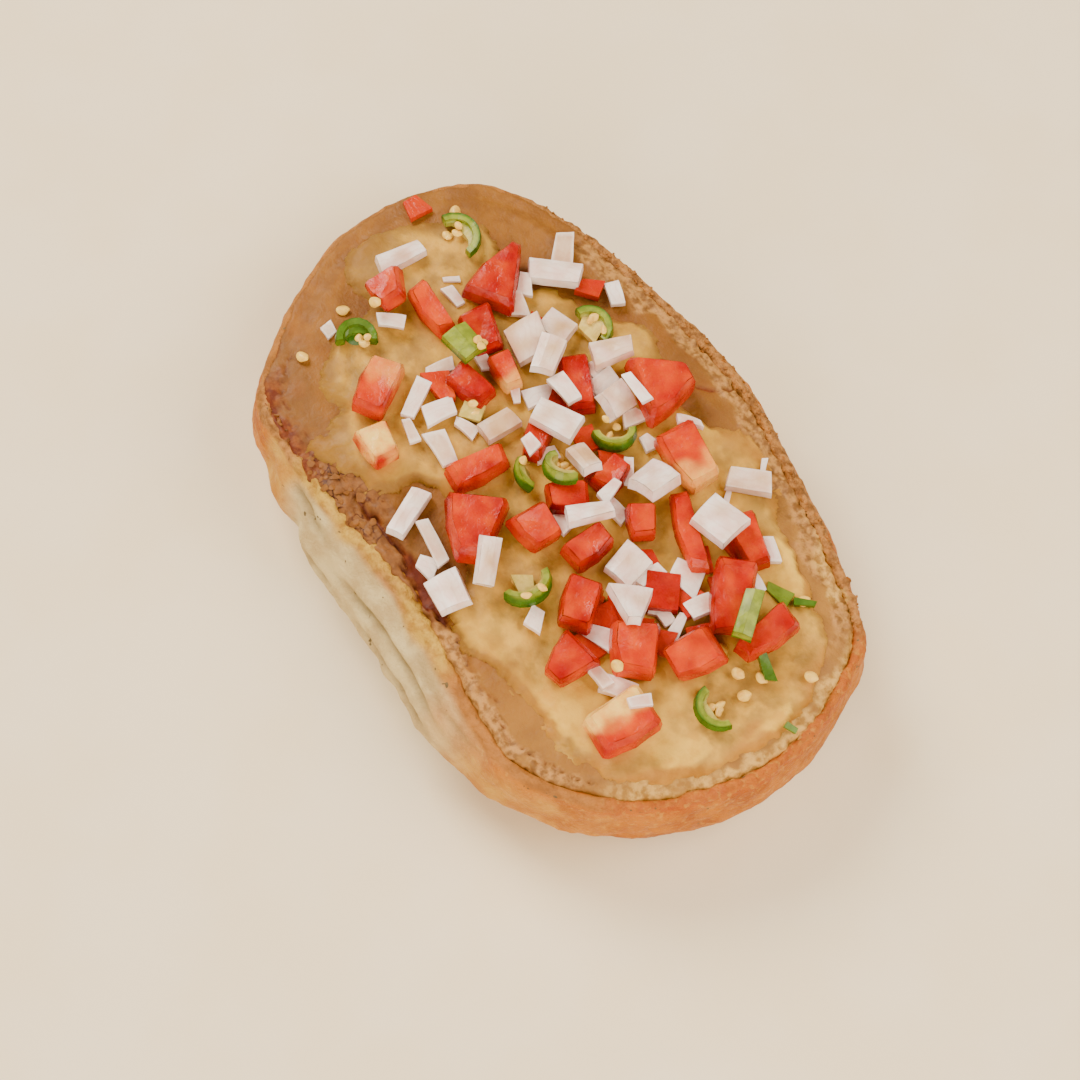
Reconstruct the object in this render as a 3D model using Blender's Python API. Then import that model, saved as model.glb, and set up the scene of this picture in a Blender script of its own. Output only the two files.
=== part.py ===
"""Mollete: the open half of a crusty white roll, spread with refried beans and melted
cheese and topped with diced tomato, onion and green chile.

Run with: blender --background --python part.py
Frame: +X along the roll, +Z up, origin under the middle of the whole thing.
"""
import math
import random

import bmesh
import bpy
import numpy as np
from mathutils import Euler, Matrix, Vector, noise
from mathutils.geometry import delaunay_2d_cdt

MM = 0.001

# ---- Driving dimensions, in millimetres and degrees ---------------------------------

GAP = 0.3              # clearance between neighbouring solids
RIM_HEIGHT = 27.0      # crust edge of the cut face above the base
DISH_HEIGHT = 24.3     # crumb floor that the beans are spread on
RIM_WIDTH = 2.2        # crust and crumb left bare round the beans
BELLY_HEIGHT = 13.5    # height of the widest girth
BASE_INSET = 18.0      # how far the flat base lies inside the girth
BEAN_TOP = 28.0        # top of the beans near the edge
BEAN_MOUND = 1.0       # how much higher the beans lie in the middle
CHEESE_THICK = 1.6     # melted sheet in its middle
BEAN_STEP = 9.0        # spacing of the points of the beans' surface
CHEESE_STEP = 7.0      # spacing of the points of the cheese's surface

# Everything on the cut face was measured in a view from this side, as if it lay on the
# level plane SEEN_HEIGHT. What lies higher or lower than that plane is moved along the
# line of sight by true_place.
VIEW_AZIMUTH = 50.0
VIEW_ELEVATION = 65.0
SEEN_HEIGHT = 30.0

# The cut edge of the roll, anticlockwise from its right end, as seen.
RIM_POINTS = (
    (79.5, -3), (77.8, 17), (72.5, 29), (64, 40), (40, 46.5), (5, 52.5), (-12, 52),
    (-45, 46), (-68, 37), (-78, 26), (-81.5, 6), (-75, -16), (-57, -39.5), (-40, -43.5),
    (0, -40.5), (40, -44), (55, -41), (71, -26.5),
)

# The edge of the cheese, as seen: it runs out in lobes over the beans.
CHEESE_POINTS = (
    (75, -3), (74.5, 14), (68, 28), (55, 37), (36, 39), (22, 45), (8, 44), (2, 38), (-14, 42),
    (-25, 41), (-32, 34), (-41, 32), (-50, 24), (-62, 26), (-73, 16), (-77, 1), (-71, -9), (-61, -8),
    (-57, -22), (-48, -30), (-41, -27), (-37.5, -38), (-32.5, -37), (-28, -34), (-21, -33),
    (-14, -21), (4, -25), (14, -35), (27, -34), (38, -31.5), (52, -30), (64, -26), (71, -17),
)

# How far the girth stands out from the cut edge, at the ends and, in the middle of each
# long side, beyond that: reach, middle and half-length along X.
END_BULGE = 1.5
NEAR_BULGE = (8.3, 0.8, 41.0)     # the pale side that touched the next roll in the oven
FAR_BULGE = (1.5, -4.0, 55.0)

# Heights of the long wrinkles of the pale side, their depth, and the side's middle and
# half-length along X.
WRINKLES = (15.2, 19.8)
WRINKLE_DEPTH = 0.9
PALE_SIDE = (8.0, 30.0)

# Folds at the near left end. Each has a crease on its right: place along X at the girth,
# depth, half-width, and how far the crease leans to the right for each millimetre of rise.
CREASES = ((-46.2, 2.8, 2.2, 0.37), (-30.6, 2.4, 1.9, 0.22))
FOLD = (0.6, -54.0, 7.0)           # the outer fold's own bulge: reach, middle, half-length

# Diced tomato: seen x, y, length, width, thickness, turn, taper.
# Taper narrows the end that the turn points at; a negative one narrows the other end.
TOMATOES = (
    (-51.0, 21.5, 17.5, 8.0, 5.5, -57, -0.70),
    (-44.0, 12.3, 11.0, 7.6, 4.6, -10, 0.10),
    (-51.4, 4.7, 15.0, 4.8, 4.8, 0, 0.05),
    (-59.6, 0.6, 8.6, 7.4, 4.6, -12, 0.25),
    (-41.5, -17.5, 14.5, 7.8, 5.8, -56, 0.05),
    (-8.3, 36.8, 13.5, 11.5, 7.5, 76, 0.55),
    (9.0, 31.0, 15.0, 9.0, 5.6, -2, 0.12),
    (-18.5, 20.3, 14.5, 7.0, 4.6, -24, 0.00),
    (-12.2, 5.6, 12.0, 5.4, 4.6, -52, 0.20),
    (-30.5, 8.6, 9.2, 5.2, 4.6, -8, 0.10),
    (-31.0, 0.2, 11.4, 6.4, 5.0, 15, 0.10),
    (4.0, 13.8, 9.4, 6.0, 4.6, 110, 0.10),
    (3.4, 3.2, 9.6, 7.2, 5.0, 60, 0.00),
    (-13.2, -9.6, 14.4, 6.0, 5.6, 85, 0.10),
    (-3.4, -17.2, 15.4, 10.4, 6.4, -40, 0.35),
    (1.7, -6.6, 9.2, 8.4, 6.0, 4, 0.15),
    (-29.6, -25.0, 9.6, 7.0, 5.2, -5, 0.10),
    (33.4, 30.2, 13.6, 6.4, 4.8, -15, 0.10),
    (24.0, 21.6, 19.5, 4.6, 4.4, -20, 0.00),
    (41.0, 20.2, 16.5, 8.8, 5.4, -40, 0.05),
    (51.8, 20.4, 15.0, 5.6, 6.4, 96, -0.25),
    (47.0, 8.4, 11.8, 8.6, 5.6, 80, -0.10),
    (17.0, 13.2, 8.2, 6.2, 5.0, -30, 0.10),
    (15.4, 0.0, 11.2, 7.0, 5.6, 97, 0.10),
    (22.8, -6.2, 12.2, 7.6, 5.6, -50, 0.05),
    (42.0, -3.8, 12.4, 9.8, 6.2, -36, 0.12),
    (35.0, -17.6, 9.8, 8.0, 5.6, -78, 0.35),
    (52.6, -16.4, 14.8, 10.4, 6.4, 88, -0.08),
)

BLUNT = 0.07           # how far along an edge a tomato piece's corner is cut off
SKIN_BULGE = 0.05      # how far the skin side bulges, as a share of the length

# Half rings of chile: seen x, y of the ring's middle, outer radius, height, middle of the
# arc, span of the arc.
CHILE_RINGS = (
    (-65.0, 17.6, 6.3, 2.8, 90, 170),
    (-54.4, -15.2, 4.9, 3.2, 150, 200),
    (-29.0, 30.4, 5.6, 3.2, 95, 170),
    (-4.2, 20.4, 5.2, 3.4, -25, 175),
    (-1.8, 5.0, 4.9, 3.4, -90, 190),
    (-8.2, 0.6, 5.2, 3.0, -105, 110),
    (61.2, 2.6, 5.6, 2.8, -92, 170),
    (15.8, -16.2, 6.0, 3.8, 0, 165),
)
CHILE_WALL = 1.9

# Flat pieces of chile wall: seen x, y, length, width, thickness, turn, taper, bow.
CHILE_STRIPS = (
    (-40.2, 4.6, 8.4, 6.6, 2.4, 6, 0.05, 1.0),
    (46.4, 19.8, 12.2, 4.6, 2.4, -50, 0.00, 0.5),
)

# Diced onion, each a piece of one curved layer: seen x, y, length, width, thickness, turn,
# taper, bow across its width.
ONIONS = (
    (-33.2, 24.6, 7.8, 6.4, 2.2, 20, 0.00, 0.5),
    (-18.6, 0.4, 9.4, 5.4, 2.2, 92, 0.05, 0.4),
    (-20.4, 31.2, 9.8, 5.4, 2.2, 72, 0.10, 0.4),
    (-45.0, 31.8, 13.0, 6.0, 2.4, 50, 0.00, 0.7),
    (-35.2, 16.3, 9.4, 8.8, 2.6, -8, 0.05, 0.7),
    (-28.0, 18.8, 9.8, 6.2, 2.4, -52, 0.10, 0.5),
    (-67.2, 4.6, 11.8, 4.4, 2.4, 86, 0.15, 0.4),
    (-11.0, 25.0, 8.2, 7.4, 2.6, -80, 0.00, 0.6),
    (-13.6, 11.0, 10.8, 6.4, 2.4, 28, -0.05, 0.4),
    (-2.0, 10.8, 8.2, 4.8, 2.2, -3, 0.00, 0.4),
    (7.9, 22.8, 9.0, 8.0, 2.8, -80, 0.05, 0.7),
    (9.3, 4.4, 10.5, 4.0, 2.2, 70, 0.10, 0.3),
    (5.8, -19.9, 11.0, 4.4, 2.4, -42, 0.00, 0.4),
    (-11.8, -28.2, 12.2, 4.4, 2.4, -62, 0.05, 0.3),
    (7.4, -29.8, 8.8, 7.8, 2.4, -10, 0.05, 0.4),
    (21.5, 39.0, 10.4, 5.6, 2.2, 48, 0.00, 0.3),
    (25.8, 27.3, 9.8, 8.8, 2.6, 15, -0.05, 0.8),
    (22.8, 6.8, 9.0, 8.0, 2.6, -75, 0.00, 0.6),
    (33.2, -1.4, 10.0, 6.8, 2.4, -32, 0.55, 0.3),
)

# Small bits that are stuck to the beans and to the cheese: seen x, y, length, width, turn.
BEAN_BITS = (
    (-49.0, 37.0, 9.5, 4.8, -38), (-3.0, -28.2, 11.5, 3.0, -8), (-33.4, 40.4, 6.0, 3.4, -15),
    (-37.4, 36.4, 5.6, 4.2, 45),
)
CHEESE_BITS = (
    (-34.6, -12.0, 10.4, 3.8, -55), (-29.0, -9.8, 7.6, 4.4, 85), (-21.0, -14.2, 8.6, 4.4, -5),
    (-54.0, -6.4, 6.4, 3.2, 50), (23.8, -19.4, 5.4, 3.8, -50), (-28.2, -17.6, 6.0, 2.4, -10),
    (2.8, 35.4, 6.0, 2.4, 45), (58.4, 16.4, 7.4, 2.2, -12), (42.0, -15.2, 6.0, 3.0, 5),
    (72.0, 4.4, 7.2, 4.2, 0),
)
BIT_THICK = 2.0

# Chile seeds: seen x, y, turn.
BEAN_SEEDS = ((-57.2, -28.0, 15), (-71.0, 21.6, -40), (-62.6, -14.0, 60))
CHEESE_SEEDS = (
    (57.5, 10.2, 20), (62.3, 8.4, 70), (51.4, 32.0, 80), (41.8, -10.6, 10), (-59.4, -6.8, 20),
    (66.5, 23.0, 30),
)
SEED_SIZE = (3.2, 2.6, 1.5)

CELL = 0.4             # grid that the toppings are settled on
MARGIN = 2             # cells that a topping keeps from what rises beside it
REACH = 4              # cells that a topping may be nudged to lie lower
NUDGE_COST = 0.8       # lift that a nudge has to save, for each millimetre of it
TILTS = (-20, -13, -6, 0, 6, 13, 20)
TILT_COST = 0.02       # lift that a tilt has to save, for each degree of it

COLOURS = {
    "crust": (0.66, 0.36, 0.13, 1), "beans": (0.42, 0.24, 0.12, 1),
    "cheese": (0.62, 0.44, 0.17, 1), "tomato": (0.66, 0.06, 0.03, 1),
    "onion": (0.82, 0.74, 0.70, 1), "chile": (0.20, 0.32, 0.05, 1),
}
ROUGHNESS = {
    "crust": 0.65, "beans": 0.5, "cheese": 0.35, "tomato": 0.25, "onion": 0.3, "chile": 0.3,
}


# ---- Outlines and surfaces -----------------------------------------------------------

def true_place(seen, height):
    """Move a seen place along the line of sight from the seen plane to a height."""
    lean = (height - SEEN_HEIGHT) / math.tan(math.radians(VIEW_ELEVATION))
    azimuth = math.radians(VIEW_AZIMUTH)
    return Vector((seen[0] + lean * math.sin(azimuth), seen[1] - lean * math.cos(azimuth)))


def spline_point(points, place):
    """A point of the closed Catmull-Rom curve; place runs from 0 to the number of points."""
    first = int(math.floor(place))
    part = place - first
    a, b, c, d = (points[(first + step) % len(points)] for step in (-1, 0, 1, 2))
    bend = 2 * a - 5 * b + 4 * c - d
    turn = 3 * b - a - 3 * c + d
    return 0.5 * (2 * b + (c - a) * part + bend * part**2 + turn * part**3)


def closed_outline(seen_points, height, count):
    """Points at equal steps along the closed curve through the seen points, at a height."""
    points = [true_place(seen, height) for seen in seen_points]
    fine_count = 40 * len(points)
    fine = [spline_point(points, step * len(points) / fine_count) for step in range(fine_count)]
    lengths = [(fine[(k + 1) % fine_count] - fine[k]).length for k in range(fine_count)]
    step_length = sum(lengths) / count
    outline = []
    travelled = 0.0
    for point, length in zip(fine, lengths):
        if travelled >= len(outline) * step_length - 1e-6 and len(outline) < count:
            outline.append(point)
        travelled += length
    return outline


def outward(outline):
    """The unit normal that points out of an anticlockwise outline at each of its points."""
    normals = []
    for k in range(len(outline)):
        along = outline[(k + 1) % len(outline)] - outline[k - 1]
        normals.append(Vector((along.y, -along.x)).normalized())
    return normals


def hump(place, middle, half_length):
    """A smooth hump of height 1 at the middle."""
    return math.exp(-(((place - middle) / half_length) ** 2))


def lumps(x, y, z, size):
    """Even noise between about -1 and 1 whose lumps are size millimetres apart."""
    return noise.noise(Vector((x, y, z)) / size) * 1.6


def broad_hump(place, middle, half_length):
    """A hump of height 1 with a long flat top."""
    return math.exp(-(((place - middle) / half_length) ** 4))


def belly_reach(point, normal):
    """How far the girth of the roll stands out from its cut edge."""
    reach, middle, half_length = NEAR_BULGE if normal.y < 0 else FAR_BULGE
    bulge = reach * abs(normal.y) ** 1.5 * broad_hump(point.x, middle, half_length)
    if normal.y < 0:
        fold_reach, fold_middle, fold_half = FOLD
        bulge += fold_reach * hump(point.x, fold_middle, fold_half)
    return END_BULGE + bulge


def bean_surface(x, y):
    """Top of the beans: a low mound with slow waves."""
    mound = BEAN_MOUND * hump(x, 2, 50) * hump(y, 3, 30)
    return BEAN_TOP + mound + 0.45 * lumps(x, y, 0, 24)


# ---- Mesh helpers ----------------------------------------------------------------------

def skin(mesh, rings):
    """Join a stack of equal closed rings with a band of faces, and return their vertices."""
    loops = [[mesh.verts.new(point) for point in ring] for ring in rings]
    count = len(rings[0])
    for lower, upper in zip(loops, loops[1:]):
        for k in range(count):
            after = (k + 1) % count
            mesh.faces.new((lower[k], lower[after], upper[after], upper[k]))
    return loops


def fan(mesh, loop, point):
    """Close a loop with a fan of triangles round one point."""
    middle = mesh.verts.new(point)
    for k in range(len(loop)):
        mesh.faces.new((loop[k - 1], loop[k], middle))


def holds(outline, spot):
    """Whether a closed outline goes round a spot."""
    crossings = 0
    for a, b in zip(outline, outline[1:] + outline[:1]):
        if (a.y > spot.y) != (b.y > spot.y):
            crossings += spot.x < a.x + (spot.y - a.y) * (b.x - a.x) / (b.y - a.y)
    return crossings % 2 == 1


def fill(mesh, loop, spacing, height):
    """Close a loop with a surface through evenly spaced points at height(x, y)."""
    outline = [vertex.co.xy for vertex in loop]
    reach = [max(abs(point[k]) for point in outline) for k in (0, 1)]
    inner = []
    for row in range(-int(reach[1] / spacing), int(reach[1] / spacing) + 1):
        for column in range(-int(reach[0] / spacing) - 1, int(reach[0] / spacing) + 2):
            spot = Vector(((column + 0.5 * (row % 2)) * spacing, row * spacing))
            clear = min((spot - point).length for point in outline) > 0.6 * spacing
            if clear and holds(outline, spot):
                inner.append(spot)
    edges = [(k, (k + 1) % len(outline)) for k in range(len(outline))]
    _, _, faces, sources, _, _ = delaunay_2d_cdt(outline + inner, edges, [], 1, 1e-6)
    vertices = list(loop) + [mesh.verts.new((*spot, height(*spot))) for spot in inner]
    for face in faces:
        mesh.faces.new([vertices[sources[corner][0]] for corner in face])


def finished(mesh):
    """Split all faces into triangles that face outwards."""
    bmesh.ops.triangulate(mesh, faces=mesh.faces[:])
    bmesh.ops.recalc_face_normals(mesh, faces=mesh.faces[:])
    return mesh


def material(slot):
    """The plain finish of one kind of piece."""
    made = bpy.data.materials.get(slot)
    if made is None:
        made = bpy.data.materials.new(slot)
        made.use_nodes = True
        surface = made.node_tree.nodes["Principled BSDF"]
        surface.inputs["Base Color"].default_value = COLOURS[slot]
        surface.inputs["Roughness"].default_value = ROUGHNESS[slot]
        surface.inputs["Metallic"].default_value = 0.0
    return made


def add_object(name, mesh, slot, parent):
    """Make a named object of a bmesh drawn in millimetres."""
    data = bpy.data.meshes.new(name)
    bmesh.ops.scale(mesh, vec=(MM, MM, MM), verts=mesh.verts[:])
    mesh.to_mesh(data)
    mesh.free()
    data.materials.append(material(slot))
    data.shade_smooth()
    data.set_sharp_from_angle(angle=math.radians(40))
    made = bpy.data.objects.new(name, data)
    made.parent = parent
    bpy.context.scene.collection.objects.link(made)
    return made


def fuse(base, pieces):
    """Join small pieces to the object that they are stuck to, as one solid."""
    group = bpy.data.collections.new("stuck_pieces")
    bpy.context.scene.collection.children.link(group)
    for number, mesh in enumerate(pieces):
        piece = add_object(f"stuck_{number}", mesh, base.data.materials[0].name, None)
        bpy.context.scene.collection.objects.unlink(piece)
        group.objects.link(piece)
    union = base.modifiers.new("stuck pieces", "BOOLEAN")
    union.operation = "UNION"
    union.solver = "MANIFOLD"
    union.operand_type = "COLLECTION"
    union.collection = group
    bpy.context.view_layer.update()
    joined = bpy.data.meshes.new_from_object(base.evaluated_get(bpy.context.evaluated_depsgraph_get()))
    base.modifiers.clear()
    base.data = joined
    for piece in list(group.objects):
        bpy.data.objects.remove(piece)
    bpy.data.collections.remove(group)


# ---- The roll, the beans and the cheese ------------------------------------------------

def crust_ring(outline, normals, height, share, inset):
    """One ring of the crust: share is how much of the girth's bulge it has."""
    near_crease = WRINKLE_DEPTH if height in WRINKLES else 0.0
    ring = []
    for point, normal in zip(outline, normals):
        reach = share * belly_reach(point, normal) - inset
        pale_side = broad_hump(point.x, *PALE_SIDE) if normal.y < -0.5 else 0.0
        reach -= near_crease * pale_side
        if normal.y < 0:
            folded = math.sin(math.pi * height / RIM_HEIGHT)
            for place, depth, half_width, lean in CREASES:
                crease = place + lean * (height - BELLY_HEIGHT)
                reach -= depth * folded * hump(point.x, crease, half_width)
        if height > 0:
            reach += 0.45 * lumps(point.x, point.y, height, 9) * min(1, height / 4)
        wave = 0.9 * pale_side * math.sin(point.x / 11) * math.sin(math.pi * height / RIM_HEIGHT)
        place = point + normal * reach
        ring.append(Vector((place.x, place.y, height + wave)))
    return ring


def rim_ring(outline, normals, height, inset, crag):
    """One ring of the torn edge, with crags up to the given height."""
    ring = []
    for point, normal in zip(outline, normals):
        place = point - normal * inset
        rough = crag * lumps(point.x, point.y, 5, 3.4)
        ring.append(Vector((place.x, place.y, height + rough)))
    return ring


def make_bread(parent):
    """The half roll: flat base, bulging crust with creases, craggy rim and dished crumb."""
    outline = closed_outline(RIM_POINTS, RIM_HEIGHT, 92)
    normals = outward(outline)
    under = [(0.0, 0.55, BASE_INSET)]
    for share in (0.08, 0.24, 0.44, 0.68):
        round_in = 1 - math.sqrt(1 - (1 - share) ** 2)
        under.append((share * BELLY_HEIGHT, 0.6 + 0.4 * share, 0.85 * BASE_INSET * round_in))
    over = [(height, 1 - ((height - BELLY_HEIGHT) / (RIM_HEIGHT - BELLY_HEIGHT)) ** 2, 0.0)
            for height in (BELLY_HEIGHT, *WRINKLES, 17.0, 22.4, 25.2)]
    levels = sorted(under + over)
    rings = [crust_ring(outline, normals, height, share, inset) for height, share, inset in levels]
    rings.append(rim_ring(outline, normals, RIM_HEIGHT - 0.3, 0.3, 0.3))
    rings.append(rim_ring(outline, normals, RIM_HEIGHT, 1.1, 0.7))
    rings.append(rim_ring(outline, normals, RIM_HEIGHT - 0.4, RIM_WIDTH, 0.2))
    rings.append(rim_ring(outline, normals, DISH_HEIGHT, RIM_WIDTH + 0.8, 0.0))
    mesh = bmesh.new()
    loops = skin(mesh, rings)
    fan(mesh, loops[0], (0, 0, 0))
    fan(mesh, loops[-1], (0, 0, DISH_HEIGHT))
    return add_object("bread", finished(mesh), "crust", parent)


def surface_ring(outline, lift):
    """A ring that lies a given height above the beans' surface."""
    return [Vector((point.x, point.y, bean_surface(point.x, point.y) + lift)) for point in outline]


def make_beans(parent):
    """The spread of beans: flat below, low mound above, with a rounded uneven edge."""
    rim = closed_outline(RIM_POINTS, RIM_HEIGHT, 72)
    normals = outward(rim)

    def inset(distance, unevenness):
        ring = []
        for point, normal in zip(rim, normals):
            wander = unevenness * (0.5 + 0.5 * lumps(point.x, point.y, 9, 6))
            ring.append(point - normal * (distance + wander))
        return ring

    floor = DISH_HEIGHT + GAP + 0.1
    edge = RIM_WIDTH + 1.3
    foot = [Vector((point.x, point.y, floor)) for point in inset(edge + 0.2, 0.0)]
    wall = [Vector((point.x, point.y, BEAN_TOP - 1.4)) for point in inset(edge - 0.1, 0.5)]
    shoulder = surface_ring(inset(edge + 0.5, 0.5), -0.3)
    top = surface_ring(inset(edge + 1.8, 0.3), 0.0)
    mesh = bmesh.new()
    loops = skin(mesh, (foot, wall, shoulder, top))
    fan(mesh, loops[0], (0, 0, floor))
    fill(mesh, loops[-1], BEAN_STEP, bean_surface)
    beans = add_object("beans", finished(mesh), "beans", parent)
    fuse(beans, stuck_pieces(BEAN_BITS, BEAN_SEEDS, 0.0))
    return beans


def make_cheese(parent):
    """The melted sheet with its lobes and rounded lip, and the bits and seeds stuck to it."""
    outline = closed_outline(CHEESE_POINTS, SEEN_HEIGHT, 84)
    normals = outward(outline)

    def inset(distance):
        return [point - normal * distance for point, normal in zip(outline, normals)]

    under = GAP + 0.1
    lip = ((0.8, under), (0.0, under + 0.35), (0.4, under + 1.1), (1.5, under + CHEESE_THICK))
    mesh = bmesh.new()
    loops = skin(mesh, [surface_ring(inset(distance), lift) for distance, lift in lip])
    fill(mesh, loops[0], 1.5 * CHEESE_STEP, lambda x, y: bean_surface(x, y) + under)
    fill(mesh, loops[-1], CHEESE_STEP, lambda x, y: bean_surface(x, y) + under + CHEESE_THICK)
    cheese = add_object("cheese", finished(mesh), "cheese", parent)
    fuse(cheese, stuck_pieces(CHEESE_BITS, CHEESE_SEEDS, under + CHEESE_THICK))
    return cheese


# ---- Toppings --------------------------------------------------------------------------

def stuck_bit(number, x, y, length, width, turn, lift):
    """A small plate sunk a little way into the surface that it is stuck to."""
    mesh = plate(100 + number, length, width, BIT_THICK, 0.0, 0.0, 2, 1)
    place = true_place((x, y), SEEN_HEIGHT + lift - 0.5)
    height = bean_surface(place.x, place.y) + lift - 0.6
    move = Matrix.Translation((place.x, place.y, height)) @ Matrix.Rotation(math.radians(turn), 4, "Z")
    mesh.transform(move)
    return mesh


def seed(x, y, turn, lift):
    """A flat oval seed, a third of it sunk."""
    mesh = bmesh.new()
    bmesh.ops.create_icosphere(mesh, subdivisions=1, radius=0.5)
    bmesh.ops.scale(mesh, vec=SEED_SIZE, verts=mesh.verts[:])
    place = true_place((x, y), SEEN_HEIGHT)
    height = bean_surface(place.x, place.y) + lift + 0.2
    spin = Matrix.Rotation(math.radians(turn), 4, "Z")
    mesh.transform(Matrix.Translation((place.x, place.y, height)) @ spin)
    return mesh


def stuck_pieces(bits, seeds, lift):
    """The small bits and seeds that are stuck to one surface."""
    made = []
    for number, (x, y, length, width, turn) in enumerate(bits):
        made.append(stuck_bit(number, x, y, length, width, turn, lift))
    for x, y, turn in seeds:
        made.append(seed(x, y, turn, lift))
    return made


def half_width(along, width, taper):
    """Half the width of a tapering piece; along runs from -1 to 1."""
    return 0.5 * width * (1 - taper * along)


def plate(number, length, width, thick, taper, bow, cells_along, cells_across):
    """A piece of one curved layer: thin, four-sided, bowed across its width."""
    draw = random.Random(number)
    corner_pull = [draw.uniform(-0.06, 0.16) for _ in range(4)]
    twist = draw.uniform(-0.06, 0.06)
    mesh = bmesh.new()
    sheets = []
    for top in (0, 1):
        sheet = []
        for i in range(cells_along + 1):
            along = 2 * i / cells_along - 1
            ends = (0.5 * (1 - along), 0.5 * (1 + along))
            row = []
            for j in range(cells_across + 1):
                across = 2 * j / cells_across - 1
                sides = (0.5 * (1 - across), 0.5 * (1 + across))
                pull = 1 - sum(corner_pull[2 * e + s] * ends[e] * sides[s]
                               for e in (0, 1) for s in (0, 1))
                slope = 0.96 if top else 1.0
                x = 0.5 * length * along * pull * slope
                y = half_width(along, width, taper) * across * pull * slope
                crown = bow * (1 - across**2) + twist * x * across
                row.append(mesh.verts.new((x, y, crown + top * thick)))
            sheet.append(row)
        sheets.append(sheet)
    low, high = sheets
    for i in range(cells_along):
        for j in range(cells_across):
            mesh.faces.new((high[i][j], high[i + 1][j], high[i + 1][j + 1], high[i][j + 1]))
            mesh.faces.new((low[i][j], low[i][j + 1], low[i + 1][j + 1], low[i + 1][j]))
    edge = [(i, 0) for i in range(cells_along)]
    edge += [(cells_along, j) for j in range(cells_across)]
    edge += [(i, cells_across) for i in range(cells_along, 0, -1)]
    edge += [(0, j) for j in range(cells_across, 0, -1)]
    for (i, j), (k, m) in zip(edge, edge[1:] + edge[:1]):
        mesh.faces.new((low[i][j], low[k][m], high[k][m], high[i][j]))
    return finished(mesh)


def tomato_piece(number, length, width, thick, taper):
    """A knife-cut chunk: blunt corners, one side rounded by the skin, sloping sides."""
    draw = random.Random(500 + number)
    corners = []
    for along, across in ((-1, -1), (1, -1), (1, 1), (-1, 1)):
        x = 0.5 * length * along * draw.uniform(0.9, 1.05)
        y = half_width(along, width, taper) * across * draw.uniform(0.9, 1.08)
        corners.append(Vector((x, y)))
    outline = []
    for k, corner in enumerate(corners):
        before = corners[k - 1]
        after = corners[(k + 1) % 4]
        outline.append(corner.lerp(before, BLUNT))
        outline.append(corner.lerp(after, BLUNT))
        if k == 0:
            middle = corner.lerp(after, 0.5)
            outline.append(middle + Vector((0, -SKIN_BULGE * length)))
    slopes = [draw.uniform(0.86, 0.98) for _ in outline]
    levels = ((0.0, 0.88, 0.0), (0.22, 1.0, 0.0), (0.72, 0.98, 0.5), (1.0, 0.86, 1.0))
    rings = []
    for share, size, lean in levels:
        ring = []
        for point, slope in zip(outline, slopes):
            place = point * size * (1 - lean * (1 - slope))
            ring.append(Vector((place.x, place.y, share * thick)))
        rings.append(ring)
    mesh = bmesh.new()
    loops = skin(mesh, rings)
    fan(mesh, loops[0], (0, 0, 0))
    fan(mesh, loops[-1], (0, 0, thick + draw.uniform(-0.5, 0.4)))
    return finished(mesh)


def chile_ring(radius, height, middle, span):
    """Part of a ring of chile wall, with the pale core that holds the seeds inside it."""
    steps = 9
    sections = []
    for k in range(steps + 1):
        share = k / steps
        angle = math.radians(middle + (share - 0.5) * span)
        core = 0.25 + 0.42 * (radius - CHILE_WALL) * math.sin(math.pi * share) ** 2
        inner = radius - CHILE_WALL
        wall_top = height * (1 - 0.12 * (2 * share - 1) ** 2)
        core_top = 0.62 * height
        profile = (
            (radius - 0.4, 0), (radius, 0.4 * height), (radius - 0.35, wall_top),
            (inner, wall_top - 0.2), (inner - 0.1, core_top), (inner - core, 0.8 * core_top),
            (inner - core, 0),
        )
        out = Vector((math.cos(angle), math.sin(angle), 0))
        sections.append([out * reach + Vector((0, 0, rise)) for reach, rise in profile])
    mesh = bmesh.new()
    loops = skin(mesh, sections)
    mesh.faces.new(loops[0])
    mesh.faces.new(loops[-1])
    return finished(mesh)


# ---- Settling the toppings -------------------------------------------------------------

def cross(first, second):
    """How far the second of two level directions lies to the left of the first."""
    return first[..., 0] * second[..., 1] - first[..., 1] * second[..., 0]


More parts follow.
